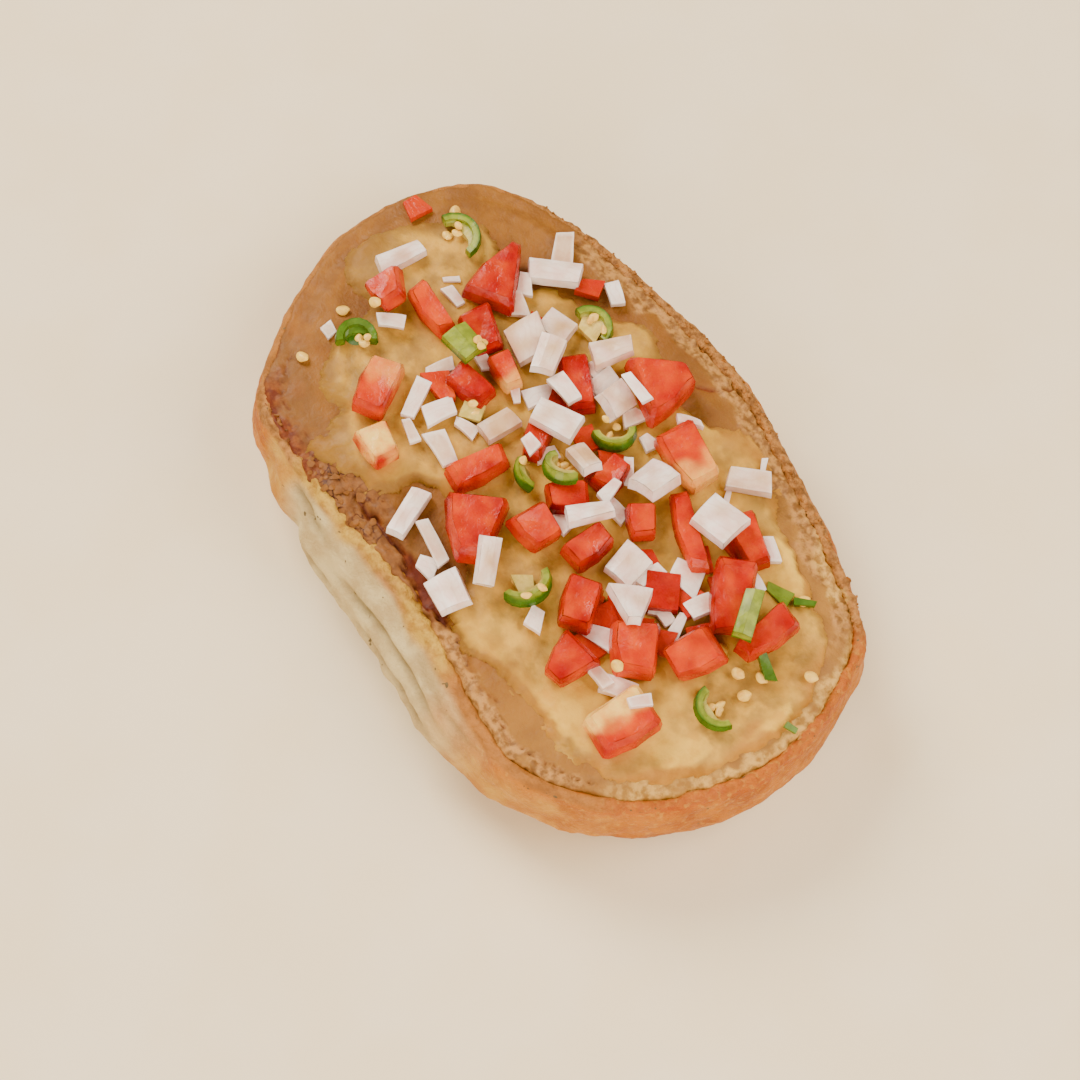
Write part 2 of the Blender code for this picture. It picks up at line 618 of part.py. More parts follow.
class Heights:
    """The height of all that lies on the roll so far, over a level grid of cells."""

    def __init__(self, half_x, half_y):
        self.origin = np.array([-half_x, -half_y])
        shape = (int(2 * half_x / CELL), int(2 * half_y / CELL))
        self.top = np.zeros(shape)

    def cells(self, corners, highest):
        """The first cell and the heights of a mesh over the cells round it, inf beside it."""
        corners = np.asarray(corners)
        low = np.floor((corners[..., :2].min((0, 1)) - self.origin) / CELL).astype(int) - 1
        high = np.ceil((corners[..., :2].max((0, 1)) - self.origin) / CELL).astype(int) + 1
        i, j = np.meshgrid(*(np.arange(*ends) for ends in zip(low, high)), indexing="ij")
        spots = (np.stack([i, j], -1) + 0.5) * CELL + self.origin
        a, b, c = (corners[:, k, None, None, :] for k in range(3))
        area = cross(b - a, c - a)
        area = np.where(np.abs(area) < 1e-9, np.inf, area)
        share_b = cross(spots - a[..., :2], c - a) / area
        share_c = cross(b - a, spots - a[..., :2]) / area
        height = a[..., 2] + share_b * (b - a)[..., 2] + share_c * (c - a)[..., 2]
        inside = (share_b >= 0) & (share_c >= 0) & (share_b + share_c <= 1) & np.isfinite(area)
        if highest:
            return low, np.where(inside, height, -np.inf).max(0)
        return low, np.where(inside, height, np.inf).min(0)

    def add(self, corners):
        """Raise the grid to the top of a solid."""
        low, found = self.cells(corners, True)
        high = low + found.shape
        window = self.top[low[0]:high[0], low[1]:high[1]]
        window[:] = np.maximum(window, found)

    def around(self, low, shape):
        """The highest ground within MARGIN cells of each cell of a window."""
        ground = np.zeros(shape)
        for i in range(low[0] - MARGIN, low[0] + MARGIN + 1):
            for j in range(low[1] - MARGIN, low[1] + MARGIN + 1):
                ground = np.maximum(ground, self.top[i:i + shape[0], j:j + shape[1]])
        return ground


def triangles(mesh, move):
    """The corners of a triangulated mesh after a move."""
    return [[tuple(move @ vertex.co) for vertex in face.verts] for face in mesh.faces]


def lowest_rest(heights, corners):
    """How a piece comes to lie lowest, clear of all below: its cost, nudge and lift."""
    low, under = heights.cells(corners, False)
    ground = heights.around(low - REACH, np.array(under.shape) + 2 * REACH)
    best = None
    for i in range(2 * REACH + 1):
        for j in range(2 * REACH + 1):
            below = ground[i:i + under.shape[0], j:j + under.shape[1]]
            lift = np.max(below - under) + GAP
            nudge = Vector(((i - REACH) * CELL, (j - REACH) * CELL, lift))
            cost = lift + NUDGE_COST * nudge.xy.length
            if best is None or cost < best[0]:
                best = (cost, nudge)
    return best


def settle(heights, name, mesh, slot, seen, thick, turn, parent):
    """Lay a topping where it was seen, tilted and nudged so that it rests lowest."""
    spin = Matrix.Rotation(math.radians(turn), 4, "Z")
    top_height = SEEN_HEIGHT + thick
    for _ in range(2):
        place = true_place(seen, top_height - 0.3 * thick)
        best = None
        for pitch in TILTS:
            for roll in TILTS:
                tilt = Euler((math.radians(pitch), math.radians(roll), 0)).to_matrix().to_4x4()
                move = Matrix.Translation((place.x, place.y, 0)) @ spin @ tilt
                cost, rest = lowest_rest(heights, triangles(mesh, move))
                cost += TILT_COST * math.hypot(pitch, roll)
                if best is None or cost < best[0]:
                    best = (cost, Matrix.Translation(rest) @ move)
        top_height = best[1].translation.z + thick
    heights.add(triangles(mesh, best[1]))
    made = add_object(name, mesh, slot, parent)
    made.location = best[1].to_translation() * MM
    made.rotation_euler = best[1].to_euler()
    return made


def world_corners(made):
    """The corners of an object's triangles in millimetres, before the frame is moved."""
    data = made.data
    data.calc_loop_triangles()
    points = [vertex.co / MM for vertex in data.vertices]
    return [[tuple(points[k]) for k in triangle.vertices] for triangle in data.loop_triangles]


def make_toppings(heights, parent):
    """All the loose toppings, the lowest lying first."""
    made = []
    for number, (x, y, length, width, thick, turn, taper) in enumerate(TOMATOES, 1):
        mesh = tomato_piece(number, length, width, thick, taper)
        name = f"tomato_{number:02d}"
        made.append(settle(heights, name, mesh, "tomato", (x, y), thick, turn, parent))
    for number, (x, y, radius, height, middle, span) in enumerate(CHILE_RINGS, 1):
        mesh = chile_ring(radius, height, middle, span)
        name = f"chile_{number:02d}"
        made.append(settle(heights, name, mesh, "chile", (x, y), height, 0, parent))
    for number, (x, y, length, width, thick, turn, taper, bow) in enumerate(CHILE_STRIPS, 1):
        mesh = plate(300 + number, length, width, thick, taper, bow, 4, 2)
        name = f"chile_{len(CHILE_RINGS) + number:02d}"
        made.append(settle(heights, name, mesh, "chile", (x, y), thick + bow, turn, parent))
    for number, (x, y, length, width, thick, turn, taper, bow) in enumerate(ONIONS, 1):
        mesh = plate(700 + number, length, width, thick, taper, bow, 4, 3)
        name = f"onion_{number:02d}"
        made.append(settle(heights, name, mesh, "onion", (x, y), thick + bow, turn, parent))
    return made


def centre_on_origin(frame, made):
    """Put the middle of the whole thing's box over the origin."""
    bpy.context.view_layer.update()
    corners = [piece.matrix_world @ vertex.co for piece in made for vertex in piece.data.vertices]
    middle = [(min(c[k] for c in corners) + max(c[k] for c in corners)) / 2 for k in (0, 1)]
    frame.location = (-middle[0], -middle[1], 0)


def main():
    for leftover in list(bpy.data.objects):
        bpy.data.objects.remove(leftover)
    frame = bpy.data.objects.new("mollete", None)
    bpy.context.scene.collection.objects.link(frame)
    spread = [make_bread(frame), make_beans(frame), make_cheese(frame)]
    heights = Heights(95, 65)
    for layer in spread:
        for corners in world_corners(layer):
            heights.add([corners])
    centre_on_origin(frame, spread + make_toppings(heights, frame))


main()
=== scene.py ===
# %% [markdown]
# # A mollete
# A mollete is the open half of a crusty white roll, spread with refried beans, covered with
# melted cheese and topped with diced tomato, onion and green chile. The solids already
# have the right sizes and places. This lesson gives them what solids for physics lack:
# torn crumb, mashed beans, melted lips, wet cut faces, skins, layers and seeds.

# %% Load the fixed frame
import math
import random

import bmesh
import bpy
import numpy as np
from mathutils import Matrix, Vector, noise
from mathutils.bvhtree import BVHTree


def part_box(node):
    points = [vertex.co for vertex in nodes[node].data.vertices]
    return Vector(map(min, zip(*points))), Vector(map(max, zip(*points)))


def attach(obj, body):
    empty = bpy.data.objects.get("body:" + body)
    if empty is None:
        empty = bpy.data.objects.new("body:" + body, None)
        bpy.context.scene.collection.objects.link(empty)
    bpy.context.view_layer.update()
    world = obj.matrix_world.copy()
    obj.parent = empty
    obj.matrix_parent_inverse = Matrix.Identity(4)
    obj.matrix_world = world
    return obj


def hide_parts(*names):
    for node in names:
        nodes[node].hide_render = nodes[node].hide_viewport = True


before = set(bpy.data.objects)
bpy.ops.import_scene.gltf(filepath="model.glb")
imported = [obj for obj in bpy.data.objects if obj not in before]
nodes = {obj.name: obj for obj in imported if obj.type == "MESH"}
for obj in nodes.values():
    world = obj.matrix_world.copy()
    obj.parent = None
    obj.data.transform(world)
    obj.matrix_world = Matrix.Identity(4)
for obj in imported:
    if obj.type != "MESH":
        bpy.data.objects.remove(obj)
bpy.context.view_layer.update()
print("solids:", len(nodes))

# %% [markdown]
# Food is easier to think of in millimetres, so every size below is in them. The solids are
# centred by their box, which moves a little whenever the crust changes. The beans don't
# change, so the place of their middle tells where the roll's own zero lies.

# %% Millimetres, and the roll's own zero
MM = 0.001
BEANS_OWN_MIDDLE = Vector((-2.032, 5.322))
low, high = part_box("beans")
ZERO = Vector(((low + high) / 2 / MM).xy) - BEANS_OWN_MIDDLE
print("the roll's own zero lies at", [round(c, 2) for c in ZERO], "mm")

# %% [markdown]
# Places on the cut face were measured in one view, as if all lay on a level plane 30 mm
# up. What lies higher or lower is moved along that line of sight.

# %% The view, and true places
VIEW_AZIMUTH = math.radians(49.95)     # the camera stands on the near right
VIEW_ELEVATION = math.radians(65.0)
SEEN_HEIGHT = 30.0
TOWARDS = Vector((math.sin(VIEW_AZIMUTH), -math.cos(VIEW_AZIMUTH), 0))


def true_place(x, y, height=SEEN_HEIGHT):
    lean = (height - SEEN_HEIGHT) / math.tan(VIEW_ELEVATION)
    return Vector((x, y)) + TOWARDS.xy * lean


print("a crumb 10 mm higher moves", [round(c, 2) for c in true_place(0, 0, 40)])

# %% [markdown]
# The camera looks down at 65 degrees from the near right, turned by 7 degrees, from a
# little over half a metre, as a phone is held over food.

# %% Camera
DISTANCE = 570.0
FOCAL = 87.47
ROLL = math.radians(7.0)
AIM = Vector((8.962, -8.182, SEEN_HEIGHT)) + Vector((*ZERO, 0))

back = math.cos(VIEW_ELEVATION) * TOWARDS + math.sin(VIEW_ELEVATION) * Vector((0, 0, 1))
right = Vector((0, 0, 1)).cross(TOWARDS).normalized()
up = back.cross(right)
image_right = math.cos(ROLL) * right + math.sin(ROLL) * up
image_up = back.cross(image_right)
camera_data = bpy.data.cameras.new("camera")
camera_data.lens = FOCAL
camera_data.sensor_width = 36.0
camera_data.clip_start = 10 * MM
camera = bpy.data.objects.new("camera", camera_data)
turn = Matrix((image_right, image_up, back)).transposed().to_4x4()
camera.matrix_world = Matrix.Translation((AIM + DISTANCE * back) * MM) @ turn
bpy.context.scene.collection.objects.link(camera)
bpy.context.scene.camera = camera
print("camera at", [round(c, 3) for c in camera.matrix_world.translation])

# %% [markdown]
# Soft warm daylight from a window is a large lamp on one side; a paler, wider one fills the
# shadows, and the sky lights everything a little. A pale ground keeps the colours honest.
# The window stands well aside of where wet level faces would mirror it to the camera.

# %% Floor, lamps and sky


def linear(code):
    """An sRGB hex colour as linear light."""
    parts = [int(code[k:k + 2], 16) / 255 for k in (1, 3, 5)]
    lit = [c / 12.92 if c <= 0.04045 else ((c + 0.055) / 1.055) ** 2.4 for c in parts]
    return (*lit, 1.0)


def lamp(name, place, size, power, colour):
    data = bpy.data.lights.new(name, "AREA")
    data.shape = "DISK"
    data.size = size * MM
    data.energy = power
    data.color = linear(colour)[:3]
    made = bpy.data.objects.new(name, data)
    made.location = Vector(place) * MM
    made.rotation_euler = (-Vector(place)).to_track_quat("-Z", "Y").to_euler()
    bpy.context.scene.collection.objects.link(made)
    return made


lamp("window", (-820, -90, 820), 640, 19.0, "#FFF3E4")
lamp("fill", (380, 420, 620), 700, 7.6, "#FFF0DE")
lamp("near_wall", (420, -520, 420), 700, 8.0, "#FFEEDA")
sky = bpy.data.worlds.new("sky")
sky.use_nodes = True
sky.node_tree.nodes["Background"].inputs["Color"].default_value = linear("#F8ECD8")
sky.node_tree.nodes["Background"].inputs["Strength"].default_value = 0.3
bpy.context.scene.world = sky

# %% [markdown]
# One small function adds a shader node with its settings and its links. Two more build
# what every food here needs: soft random patches at a size in millimetres, and layers of
# colour, each where a mark on the mesh or a patch says so. All are read from the piece's
# own coordinates, never from the camera, so they stay put in every view.

# %% The node helper, and finishes


def add(tree, kind, output=0, settings=None, inputs=None):
    """Add one shader node; an input is a number, a hex colour or another node's output."""
    made = tree.nodes.new("ShaderNode" + kind)
    for name, value in (settings or {}).items():
        setattr(made, name, value)
    for name, value in (inputs or {}).items():
        if isinstance(value, bpy.types.NodeSocket):
            tree.links.new(value, made.inputs[name])
        else:
            made.inputs[name].default_value = linear(value) if isinstance(value, str) else value
    return made.outputs[output]


def patches(tree, size, start=0.36, end=0.66, low=0.0, high=1.0, detail=3.0):
    """Soft random patches with a spacing in mm, running from a low to a high value."""
    place = add(tree, "TexCoord", "Object")
    noisy = add(tree, "TexNoise", "Fac", None, {
        "Vector": place, "Scale": 1000 / size, "Detail": detail, "Roughness": 0.55})
    return add(tree, "MapRange", "Result", {"interpolation_type": "SMOOTHSTEP"}, {
        "Value": noisy, "From Min": start, "From Max": end, "To Min": low, "To Max": high})


def paint(tree, *layers):
    """Layers of two colours in patches of a size in mm, from the lowest up.

    All but the lowest say where they show: a mark's name, numbers for patches, or an output.
    """
    under = None
    for first, second, size, *where in layers:
        colour = add(tree, "Mix", 2, {"data_type": "RGBA"}, {
            "Factor": patches(tree, size), 6: first, 7: second})
        for place in where:            # the lowest layer has none: it shows everywhere
            if isinstance(place, str):
                place = add(tree, "Attribute", "Fac", {"attribute_name": place})
            elif isinstance(place, tuple):
                place = patches(tree, *place)
            colour = add(tree, "Mix", 2, {"data_type": "RGBA"}, {
                "Factor": place, 6: under, 7: colour})
        under = colour
    return under


def new_finish(name, **shader_values):
    """A material and its shader, with the constants that are set on the shader itself."""
    made = bpy.data.materials.new(name)
    made.use_nodes = True
    shader = made.node_tree.nodes["Principled BSDF"]
    for key, value in shader_values.items():
        shader.inputs[key.replace("_", " ")].default_value = value
    return made, made.node_tree, shader


BUMP_STRENGTH = 0.7


def finish_off(tree, shader, roughness, grain, depth, *layers):
    """Link layers of colour, a roughness that wanders between two values, and a relief in mm."""
    tree.links.new(paint(tree, *layers), shader.inputs["Base Color"])
    wander = patches(tree, 5 * grain, low=roughness[0], high=roughness[1])
    tree.links.new(wander, shader.inputs["Roughness"])
    bump = add(tree, "Bump", "Normal", None, {
        "Height": patches(tree, grain, 0.2, 0.8), "Distance": depth * MM,
        "Strength": BUMP_STRENGTH})
    tree.links.new(bump, shader.inputs["Normal"])


# Uncoated paper: matt, with a barely visible tooth.
paper, tree, shader = new_finish("uncoated_paper")
finish_off(tree, shader, (0.85, 0.95), 1.5, 0.02, ("#F4E6C6", "#F2E2BE", 40))
FLOOR_SIZE = 6.0       # metres, so that its edge stays out of the picture
bpy.ops.mesh.primitive_plane_add(size=FLOOR_SIZE)
floor = bpy.context.object
floor.name = "floor"
floor.data.materials.append(paper)
print("floor finish has", len(tree.nodes), "nodes")

# %% [markdown]
# Relief is worked into the meshes as heights of noise at true sizes, one call for many
# points. Grids of heights carry the beans and the cheese, because both are spread on a
# nearly level face and are seen from above.

# %% Noise and soft steps
STEP = 0.6
COLUMNS = np.arange(-90.0, 90.0, STEP)
ROWS = np.arange(-62.0, 62.0, STEP)
GRID_X, GRID_Y = np.meshgrid(COLUMNS, ROWS, indexing="ij")
GRID_POINTS = np.stack([GRID_X.ravel(), GRID_Y.ravel(), np.zeros(GRID_X.size)], 1)


SEED_STEP = (17.3, -9.1, 5.7)          # how far each seed moves the noise
NOISE_GAIN = 1.6                       # raw noise seldom passes 0.6


def bumps(points, size, seed=0):
    """Even noise between about -1 and 1 at each point; size is the lumps' spacing."""
    shift = Vector([step * seed for step in SEED_STEP])
    return np.array([noise.noise(Vector(p) / size + shift) for p in points]) * NOISE_GAIN


def grid_bumps(size, seed=0, stretch=(1, 1)):
    return bumps(GRID_POINTS * (*stretch, 1), size, seed).reshape(GRID_X.shape)


def ramp(value, start, end):
    """0 before the start, 1 after the end, with a soft bend at both."""
    share = np.clip((value - start) / (end - start), 0, 1)
    return share * share * (3 - 2 * share)


def stretch_of(value, start, end, soft):
    """1 between two places and 0 beyond them, with soft ends."""
    return ramp(value, start - soft, start + soft) * ramp(-value, -end - soft, -end + soft)


print("grid of", GRID_X.shape, "heights,", STEP, "mm apart")

# %% Read the solids' tops, blur a grid, and measure how far inside an edge a place is
OVERHEAD = 90.0        # above every solid, where rays start down


def solid_tree(names):
    """A tree of solids for casting rays, in the roll's own frame."""
    points, faces = [], []
    for name in names:
        data = nodes[name].data
        first = len(points)
        points += [v.co / MM - Vector((*ZERO, 0)) for v in data.vertices]
        faces += [[first + k for k in p.vertices] for p in data.polygons]
    return BVHTree.FromPolygons(points, faces)


def tops(name):
    """The height of a solid's top over the grid, nan beside it."""
    tree = solid_tree([name])
    found = np.full(GRID_X.shape, np.nan)
    for i, x in enumerate(COLUMNS):
        for j, y in enumerate(ROWS):
            hit = tree.ray_cast((x, y, OVERHEAD), (0, 0, -1))[0]
            if hit is not None:
                found[i, j] = hit.z
    return found


def smooth(grid, reach):
    """Blur a grid over a distance, leaving out its nan cells."""
    known = np.isfinite(grid)
    value = np.where(known, grid, 0.0)
    weight = known.astype(float)
    half = max(1, int(3 * reach / STEP))
    taps = np.exp(-0.5 * (np.arange(-half, half + 1) * STEP / reach) ** 2)
    for axis in (0, 1):
        value = np.apply_along_axis(np.convolve, axis, value, taps, "same")
        weight = np.apply_along_axis(np.convolve, axis, weight, taps, "same")
    return value / np.maximum(weight, 1e-9)


def inside_distance(mask):
    """How far each cell of a mask lies inside its edge."""
    edge = np.zeros_like(mask)
    for axis in (0, 1):
        for step in (-1, 1):
            edge |= mask & ~np.roll(mask, step, axis)
    spots = np.stack([GRID_X[edge], GRID_Y[edge]], 1)
    found = np.zeros(mask.shape)
    for column in range(mask.shape[0]):
        cells = np.nonzero(mask[column])[0]
        if len(cells):
            here = np.stack([np.full(len(cells), COLUMNS[column]), ROWS[cells]], 1)
            far = np.linalg.norm(here[:, None] - spots[None], axis=2)
            found[column, cells] = far.min(1)
    return found


beans_top = tops("beans")
cheese_top = tops("cheese")
crust_top = tops("bread")
bean_mask = np.isfinite(beans_top)
bean_depth = inside_distance(bean_mask) - inside_distance(~bean_mask)
print("beans cover", int(np.isfinite(beans_top).sum() * STEP**2), "mm2, cheese",
      int(np.isfinite(cheese_top).sum() * STEP**2), "mm2")

# %% [markdown]
# A piece is made from points and faces in millimetres. Numbers that a finish needs at each
# point, such as how floury the crust is, ride along as marks.

# %% Make a piece


def make_piece(name, points, faces, finish, marks=None, sharp=180):
    data = bpy.data.meshes.new(name)
    placed = np.asarray(points, float) + (ZERO.x, ZERO.y, 0)
    data.from_pydata([tuple(p) for p in placed * MM], [], [tuple(map(int, f)) for f in faces])
    data.validate()
    for mark, values in (marks or {}).items():
        layer = data.attributes.new(mark, "FLOAT", "POINT")
        layer.data.foreach_set("value", np.asarray(values, np.float32))
    data.shade_smooth()
    data.set_sharp_from_angle(angle=math.radians(sharp))
    data.materials.append(finish)
    made = bpy.data.objects.new(name, data)
    bpy.context.scene.collection.objects.link(made)
    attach(made, "root")
    print(name, len(data.vertices), "points")
    return made


def look_up(grid, points):
    """Values of a grid below or above each point."""
    column = np.clip(((points[:, 0] - COLUMNS[0]) / STEP).round().astype(int), 0, len(COLUMNS) - 1)
    row = np.clip(((points[:, 1] - ROWS[0]) / STEP).round().astype(int), 0, len(ROWS) - 1)
    return grid[column, row]


def slab(top, bottom, mask):
    """Points and faces of a closed slab between two grids of heights, inside a mask."""
    cell = mask[:-1, :-1] & mask[1:, :-1] & mask[:-1, 1:] & mask[1:, 1:]
    used = np.zeros(mask.shape, bool)
    for i, j in ((0, 0), (1, 0), (0, 1), (1, 1)):
        used[i:i + cell.shape[0], j:j + cell.shape[1]] |= cell
    number = np.full(mask.shape, -1)
    count = int(used.sum())
    number[used] = np.arange(count)
    x, y = GRID_X[used], GRID_Y[used]
    points = np.concatenate([np.stack([x, y, top[used]], 1), np.stack([x, y, bottom[used]], 1)])
    i, j = np.nonzero(cell)
    a, b, c, d = number[i, j], number[i + 1, j], number[i + 1, j + 1], number[i, j + 1]
    faces = np.concatenate([np.stack([a, b, c, d], 1), np.stack([d, c, b, a], 1) + count])
    walls = []
    padded = np.pad(cell, 1)
    for di, dj, first, second in ((-1, 0, (0, 1), (0, 0)), (1, 0, (1, 0), (1, 1)),
                                  (0, -1, (0, 0), (1, 0)), (0, 1, (1, 1), (0, 1))):
        beside = padded[1 + di:1 + di + cell.shape[0], 1 + dj:1 + dj + cell.shape[1]]
        i, j = np.nonzero(cell & ~beside)
        p = number[i + first[0], j + first[1]]
        q = number[i + second[0], j + second[1]]
        walls.append(np.stack([p, q, q + count, p + count], 1)[:, ::-1])
    return points, np.concatenate([faces] + walls), used


def both_sides(marks, used):
    """Marks of a grid for the top and the bottom points of its slab."""
    return {name: np.concatenate([grid[used], grid[used]]) for name, grid in marks.items()}


# %% [markdown]
# ## The roll
# This roll's crust is thin and smooth where the oven's air reached it, golden brown on
# its ends, and pale and floury on the side that touched the next roll. The cut face
# tears at its edge and toasts there. One fine even mesh is made over the solid, and each
# of its points is moved a little by the relief of the place where it lies.

# %% A fine mesh over a solid


def remeshed(name, voxel):
    """Points in the roll's own frame and faces of an even mesh over a solid."""
    copy = nodes[name].copy()
    copy.data = nodes[name].data.copy()
    copy.parent = None
    bpy.context.scene.collection.objects.link(copy)
    even = copy.modifiers.new("even", "REMESH")
    even.mode = "VOXEL"
    even.voxel_size = voxel * MM
    graph = bpy.context.evaluated_depsgraph_get()
    data = bpy.data.meshes.new_from_object(copy.evaluated_get(graph))
    points = np.array([v.co[:] for v in data.vertices]) / MM - (ZERO.x, ZERO.y, 0)
    faces = [tuple(p.vertices) for p in data.polygons]
    bpy.data.objects.remove(copy)
    bpy.data.meshes.remove(data)
    return points, faces


def relaxed(points, faces, rounds, strength=0.5):
    """Even out a mesh by moving each point towards the middle of its neighbours."""
    pairs = np.concatenate([np.stack([np.roll(f, -1), f], 1) for f in np.array(faces)])
    for _ in range(rounds):
        total = np.zeros_like(points)
        count = np.zeros(len(points))
        for a, b in ((0, 1), (1, 0)):
            np.add.at(total, pairs[:, a], points[pairs[:, b]])
            np.add.at(count, pairs[:, a], 1)
        points = points + strength * (total / count[:, None] - points)
    return points


def outward_normals(points, faces):
    quads = np.array([f for f in faces if len(f) == 4])
    first, second, third, fourth = (points[quads[:, k]] for k in range(4))
    across = np.cross(third - first, fourth - second)
    total = np.zeros_like(points)
    for corner in range(4):
        np.add.at(total, quads[:, corner], across)
    return total / np.maximum(np.linalg.norm(total, axis=1), 1e-9)[:, None]


VOXEL = 0.8
crust_points, crust_faces = remeshed("bread", VOXEL)
crust_points = relaxed(crust_points, crust_faces, 2)
crust_normals = outward_normals(crust_points, crust_faces)
print("crust mesh:", len(crust_points), "points")

# %% [markdown]
# Each point of the crust is given its place on the roll: how much it belongs to the pale
# side, to the cream fold and the cream end beside it, to the cut rim that toasted, to the
# part of the rim that tore into grains, to the golden crumb that hangs over the pale side,
# to the white crumb that shows at the right end, and to the browned lip below that. Flour
# dusts the rest in soft clouds.

# %% Where the crust is pale, folded, toasted, torn, bare, browned or floury
CUT_HEIGHT = 27.0      # of the cut face over the base

cx, cy, cz = crust_points.T
wander = bumps(crust_points, 9, 1)
near = ramp(-crust_normals[:, 1], -0.05, 0.2) * ramp(-cy, 5, 15)
pale = near * ramp(cx + 3 * wander, -36, -29) * ramp(-cx + 5 * wander, -48, -20)
pale *= ramp(-cz + 1.2 * wander, -28.5, -26)
fold = near * ramp(cx + wander, -48, -45) * ramp(-cx - wander, 29, 33)
cream_end = near * stretch_of(cx + 5 * wander, 28, 62, 10) * ramp(-cz - 2 * wander, -26, -19)
fold = np.maximum(fold, 0.8 * cream_end)
rim = ramp(cz + 0.4 * wander, CUT_HEIGHT - 2.2, CUT_HEIGHT - 0.8)
rim *= ramp(crust_normals[:, 2], -0.25, 0.2)
golden = stretch_of(cx + 2 * wander, -36, 22, 4) * ramp(cz + 1.5 * wander, 24.2, 26.2)
golden *= ramp(-cy, 20, 30)
torn = rim * ramp(cy + 3 * wander, 12, 24) * stretch_of(cx, -66, 64, 5)
torn = np.maximum(torn, rim * ramp(-cy, 20, 30) * stretch_of(cx, -56, 10, 4))
right_side = ramp(cx + 0.35 * cy + 2 * wander, 50, 62)
from_beans = look_up(bean_depth, crust_points)
bare = rim * right_side * ramp(from_beans + 0.5 * wander, -1.2, -0.7)
bare *= 0.25 + 0.75 * ramp(bumps(crust_points, 4, 37), -0.6, 0.3)
lip = right_side * ramp(cz + 1.5 * wander, 22.5, 26) * (1 - bare)
floury = ramp(bumps(crust_points, 16, 9) - 0.08 * (cz - 12), 0.1, 0.9) * (1 - rim)
rim *= 1 - 0.75 * right_side
under = 1 - ramp(cz, 1.5, 7.0)         # darker towards the base
print("pale share %.2f, rim share %.2f, torn share %.2f" % (pale.mean(), rim.mean(), torn.mean()))

# %% Relief of the crust
WRINKLES = (9.5, 15.2, 19.8, 23.6)     # heights of the long creases of the pale side
CREASE_WIDTH, CREASE_DEPTH = 0.75, 1.4

swell, lumps, grains, pores = (bumps(crust_points, size, seed) for size, seed in (
    (12, 4), (4.2, 2), (2.2, 3), (1.3, 7)))
drift = 1.6 * bumps(crust_points * (1, 1, 0), 24, 6) + 0.5 * lumps
# The creases are sunk into the relief here, and the same pattern later paints shade into them.
shaded_crease = np.zeros(len(cz))
for number, height in enumerate(WRINKLES):
    depth = ramp(bumps(crust_points * (1, 1, 0), 30, 8 + number), -0.5, 0.3)
    shaded_crease = np.maximum(shaded_crease, depth * np.exp(-(((cz - height - drift) / CREASE_WIDTH) ** 2)))
wrinkles = bumps(crust_points * (0.10, 0.10, 0.75), 2.0, 5)
lift = 0.2 * swell * (1 - rim)
lift += pale * (0.3 * wrinkles * ramp(cz, 3, 8) - CREASE_DEPTH * shaded_crease + 0.35 * lumps)
lift += fold * 0.35 * wrinkles
lift += torn * (0.35 * lumps + 0.45 * grains + 0.25 * pores)
lift += rim * (1 - torn) * (0.22 * lumps + 0.12 * grains)
lift += bare * (0.4 * grains - 0.6 * ramp(pores, 0, 0.6))
lift += golden * (0.45 * lumps + 0.3 * grains)
lift += (1 - rim) * (1 - pale) * (0.2 * lumps + 0.12 * grains + 0.08 * pores)
lift += lip * (0.2 * lumps + 0.2 * grains)
crust_points = crust_points + crust_normals * lift[:, None]
crust_points[:, 2] = np.maximum(crust_points[:, 2], 0.0)
print("crust relief from %.2f to %.2f mm" % (lift.min(), lift.max()))

# %% [markdown]
# Baked wheat crust is a satin, slightly uneven brown: sugars and proteins brown in
# patches of a few millimetres. Flour that was rubbed on stays as a pale matt bloom. Torn
# crumb is rough and dry, and its tips toast first.

# %% Finish of baked crust
# Baked wheat crust: a dull satin golden brown with a fine grainy relief.
crust_finish, tree, shader = new_finish("baked_crust", IOR=1.45, Specular_IOR_Level=0.3)
finish_off(
    tree, shader, (0.5, 0.7), 0.9, 0.45,
    ("#BC6E0C", "#A05206", 7), ("#C88838", "#B87024", 3, (2.4, 0.5, 0.8, 0, 0.5)),
    ("#CC9440", "#BC7E2E", 3.5, "floury"), ("#A84A02", "#BC6206", 3, "lip"),
    ("#D09A3C", "#C48628", 3, (1.4, 0.5, 0.7, 0, 0.6)),
    ("#8A4606", "#9A540C", 3, (1.9, 0.56, 0.72, 0, 0.5)),
    ("#84481A", "#96561E", 7, "under"), ("#C8983C", "#B47828", 7, "fold"),
    # painted shade: the second layer on the line below darkens the pale side's creases
    ("#CFBA84", "#B69C68", 7, "pale"), ("#8C7648", "#7E683C", 4, "shaded_crease"),
    ("#AA6E2C", "#905A20", 4, "rim"), ("#B27A3C", "#784C1C", 2.2, "torn"),
    ("#C8A040", "#A87A26", 2.4, "golden"), ("#DCB05C", "#9E722C", 1.8, "bare"),
    ("#6E5B38", "#5C4A2C", 3, (1.8, 0.74, 0.77, 0, 1, 1)))
crust = make_piece("crust", crust_points, crust_faces, crust_finish, {
    "pale": pale, "fold": fold * (1 - pale), "rim": rim, "torn": torn, "bare": bare,
    # one mark here carries the painted shade of the pale side's creases
    "under": under, "golden": golden, "shaded_crease": 0.85 * shaded_crease * pale, "lip": lip,
    "floury": 0.75 * floury})
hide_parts("bread")

# %% [markdown]
# ## The beans
# Refried beans are mashed and spread with a knife. Their skin dries into a smooth tan film
# with soft strokes. Where they lie thin along the near edge they dry into flakes, crack
# and gape, and end in a red-brown seam. The film is a grid of heights over the solid's top,
# run out over the inner half of the rim.

